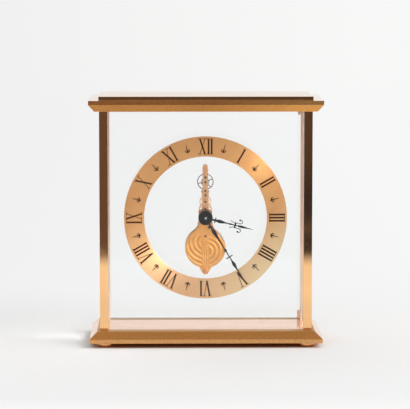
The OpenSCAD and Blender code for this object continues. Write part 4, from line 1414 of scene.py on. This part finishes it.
@dataclass
class ChasedCover(Assembly):
    """The cover over the barrel, with crescent flutes on each side of a lined stem."""

    front: float = 2.2
    back: float = 2.8
    radius: float = 16.85
    neck: float = 5.35
    depth: float = 0.19
    line_depth: float = 0.08
    scroll_depth: float = 0.10
    edge: float = 0.12
    left_hub: Point = (0.0, 5.0)
    left_crest: float = 8.9
    right_hub: Point = (0.7, -3.0)
    right_crest: float = 5.0
    pitch: float = 3.7
    stem_x: float = -0.3
    angles: int = 540
    rows: int = 64

    def outline(self) -> list[Point]:
        """The cover's outline, counter-clockwise.

        Returns:
            Its corners around the barrel's centre, in millimetres.
        """
        tail = [(5.4, -43.1), (4.3, -45.0), (2.8, -47.4), (2.0, -48.9), (0.9, -49.4)]
        centre, neck = (0.0, BARREL_UP), self.neck
        right = [(neck, -6.6), (neck + 0.8, -9.4), *arc(centre, self.radius, 12, -62, 40), *tail]
        left = [(neck, -6.6), (neck + 0.9, -9.2), (neck + 2.8, -11.6)]
        left += [*arc(centre, self.radius, 50, -62, 60), *tail]
        return [(x, z - BARREL_UP) for x, z in [(-x, z) for x, z in left] + right[::-1]]

    def reach(self, angle: float, outline: Sequence[Point]) -> float:
        """Distance from the barrel's centre to the outline.

        Args:
            angle: Direction in radians.
            outline: The outline around the barrel's centre.

        Returns:
            The distance in millimetres.
        """
        ray = Vector((math.cos(angle), math.sin(angle)))
        best = 0.0
        for a, b in zip(outline, outline[1:] + outline[:1]):
            edge = Vector(b) - Vector(a)
            cross = ray.x * edge.y - ray.y * edge.x
            if cross:
                far, along = ((a[0] * way.y - a[1] * way.x) / cross for way in (edge, ray))
                if far > 0 and -CLOSE <= along <= 1 + CLOSE:
                    best = max(best, far)
        return best

    def relief(self, x: float, z: float, inside: float) -> float:
        """Height of the chasing.

        Args:
            x: Sideways from the barrel's centre, in millimetres.
            z: Upwards from the barrel's centre.
            inside: Distance to the outline.

        Returns:
            How far the surface stands proud, in millimetres.
        """
        off = x - self.stem_x
        hub, crest = (self.left_hub, self.left_crest) if off < 0 else (self.right_hub, self.right_crest)
        wave = math.cos(2 * math.pi * (math.hypot(x - hub[0], z - hub[1]) - crest) / self.pitch)
        fade = within(abs(off), 2.6, 3.6) * within(inside, 0.5, 1.6) * within(-z, -12.5, -7.5)
        in_stem = within(2.9 - abs(off), 0.0, 0.4)
        lines = math.cos(2 * math.pi * off / 1.6) * within(-z, 1.0, 2.0) * within(z, -20.5, -19.0)
        turn = math.sin(2 * math.pi * math.hypot(x - 0.9, z - 1.4) / 1.9)
        scroll = turn * within(z, -1.6, -1.0) * within(-z, -6.5, -5.0)
        boss = max(0.0, 1.0 - math.hypot(x - 0.5, z - 0.7) / 0.8)
        stem = in_stem * (self.line_depth * lines + self.scroll_depth * scroll)
        return self.depth * wave * fade + stem + self.depth * boss

    def build(self) -> None:
        """Makes the cover as one closed mesh, ring by ring from its middle."""
        outline = self.outline()
        turns = [2 * math.pi * k / self.angles for k in range(self.angles)]
        rays = [(math.cos(t), math.sin(t), self.reach(t, outline)) for t in turns]
        low = DIAL_Z + BARREL_UP
        bm = bmesh.new()
        layer = bm.verts.layers.float.new("relief")
        rings = [[bm.verts.new((0, (self.front - self.relief(0, 0, 10)) * MM, low * MM))]]
        for r in range(1, self.rows + 1):
            edge = self.edge if r == self.rows else 0.0
            ring = []
            for across, up, reach in rays:
                far = reach * (r / self.rows) ** 0.9
                height = self.relief(far * across, far * up, reach - far)
                y = self.front - height + edge
                vert = bm.verts.new((far * across * MM, y * MM, (low + far * up) * MM))
                vert[layer] = 0.5 + height / (2 * self.depth)
                ring.append(vert)
            rings.append(ring)
        back = self.back * MM
        rings.append([bm.verts.new((x * reach * MM, back, (low + z * reach) * MM)) for x, z, reach in rays])
        rings.append([bm.verts.new((0, back, low * MM))])
        for here, there in zip(rings, rings[1:]):
            bridge(bm, here, there)
        cover = closed("chased_barrel_cover", bm, 40)
        self.shop.register(cover, Body.CASE, Slot.MOVEMENT_GILT, self.look.cover, "engraved_cover")


@dataclass
class Movement(Assembly):
    """Plates, pillars, screws, jewels and the whole train."""

    bridge_back: float = 4.2
    back_front: float = 14.0
    jewel_heights: tuple[float, ...] = (29.5, 22.0, 18.1, 12.6, 6.4)
    hair_depth: float = 5.2
    spring_steps: int = 48
    spring_smooth: float = 40.0

    def plates(self) -> None:
        """Front bridge, back plate, pillars and screws."""
        shop, look = self.shop, self.look
        shop.machined("front_bridge", Body.CASE, Slot.MOVEMENT_GILT, look.plate, edge=0.16)
        shop.machined("back_plate", Body.CASE, Slot.MOVEMENT_GILT, look.plate, edge=0.2)
        shop.machined("pillars", Body.CASE, Slot.MOVEMENT_GILT, look.small, edge=0.08)
        shop.machined("movement_screws", Body.CASE, Slot.BLUED, look.blued, edge=0.07)

    def jewels(self) -> None:
        """Five hole jewels with oil sinks in the bridge, and five in the back plate."""
        for node, axis, depth, thick in (
            ("front_jewels", Axis.FRONT, self.bridge_back, 1.2),
            ("rear_jewels", Axis.REAR, self.back_front, 1.0),
        ):
            places = [(Vector((0, depth, DIAL_Z + up)), ORIGIN) for up in self.jewel_heights]
            profile = [(0.25, 0), (0.93, 0), (0.95, 0.04), (0.95, thick - 0.15), (0.85, thick)]
            profile += [(0.62, thick), (0.45, thick - 0.2), (0.25, thick - 0.35), (0.25, 0)]
            jewel = lathe("jewel", profile, axis, 32)
            self.shop.repeated("set_" + node, jewel, places, Slot.RUBY, self.look.ruby, node)

    def wheels(self) -> None:
        """Barrel, train, escapement and motion work."""
        look = self.look
        gilt, steel = (Slot.MOVEMENT_GILT, look.wheel), (Slot.STEEL, look.steel)
        rows = [
            ("barrel_drum", Body.BARREL, gilt, 0.0),
            ("barrel_cover", Body.BARREL, gilt, 0.1),
            ("barrel_arbor", Body.WINDING, steel, 0.08),
            ("ratchet_wheel", Body.WINDING, steel, 0.05),
            ("winding_key", Body.WINDING, (Slot.MOVEMENT_GILT, look.small), 0.3),
            ("click", Body.CLICK, steel, 0.1),
            ("click_spring", Body.CASE, steel, 0.06),
            ("intermediate_wheel", Body.INTERMEDIATE, gilt, 0.0),
            ("centre_wheel", Body.CENTRE, gilt, 0.0),
            ("third_wheel", Body.THIRD, gilt, 0.0),
            ("fourth_wheel", Body.FOURTH, gilt, 0.0),
            ("escape_wheel", Body.ESCAPE, gilt, 0.0),
            ("pallet_fork", Body.PALLETS, steel, 0.03),
            ("pallet_stones", Body.PALLETS, (Slot.RUBY, look.ruby), 0.03),
            ("balance_wheel", Body.BALANCE, (Slot.MOVEMENT_GILT, look.copper), 0.08),
            ("balance_staff", Body.BALANCE, steel, 0.0),
            ("hairspring_stud", Body.CASE, steel, 0.06),
            ("regulator", Body.INDEX, (Slot.BLUED, look.blued), 0.06),
            ("centre_arbor", Body.MINUTE, steel, 0.05),
            ("cannon_pinion", Body.MINUTE, steel, 0.0),
            ("minute_wheel", Body.MINUTE_WORK, gilt, 0.0),
            ("minute_wheel_post", Body.CASE, steel, 0.04),
            ("hour_wheel", Body.HOUR, gilt, 0.0),
        ]
        for node, body, metal, edge in rows:
            self.shop.machined(node, body, *metal, edge)

    def spring(self, node: str, turns: float, radii: Point, ribbon: Point, place: Point) -> None:
        """Winds a spring from one ribbon.

        Args:
            node: The CAD node that it stands for, hairspring or mainspring.
            turns: How many turns it has.
            radii: Its inner and outer radius, in millimetres.
            ribbon: Thickness and width of the ribbon, in millimetres.
            place: Depth of its middle, and height above the dial's centre, in millimetres.
        """
        body, slot, finish = {
            "hairspring": (Body.CASE, Slot.BLUED, self.look.blued),
            "mainspring": (Body.BARREL, Slot.STEEL, self.look.steel),
        }[node]
        values = {
            "Turns": turns,
            "Inner radius": radii[0] * MM,
            "Outer radius": radii[1] * MM,
            "Start angle": math.pi / 2,
            "Ribbon": ribbon[0] * MM,
            "Depth": ribbon[1] * MM,
            "Steps": self.spring_steps,
            "Place": (0.0, place[0] * MM, (DIAL_Z + place[1]) * MM),
            "Finish": finish,
        }
        obj = link_object("wound_" + node, bpy.data.meshes.new("wound_" + node))
        self.shop.ribbon.run(obj, values, self.spring_smooth)
        self.shop.register(obj, body, slot, finish, node)

    def build(self) -> None:
        """Makes the movement."""
        self.plates()
        ChasedCover(self.shop).build()
        self.jewels()
        self.wheels()
        self.spring("hairspring", 4.0, (0.75, 3.7), (0.12, 0.4), (self.hair_depth, self.jewel_heights[0]))
        low, high = (corner.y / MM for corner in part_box("mainspring"))
        self.spring("mainspring", 7.25, (2.6, 14.3), (0.45, high - low), ((low + high) / 2, BARREL_UP))


def main() -> None:
    """Builds the studio and the clock."""
    logging.basicConfig(level=logging.INFO, format="%(name)s: %(message)s")
    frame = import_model()
    Studio().build()
    shop = Workshop(frame["nodes"], Palette(), RepeatTree(), RibbonTree())
    for assembly in (CaseWork(shop), Dial(shop), Hands(shop), Movement(shop)):
        assembly.build()
        LOG.info("%s is done, %d pieces so far", type(assembly).__name__, len(shop.made))


if __name__ == "__main__":
    main()
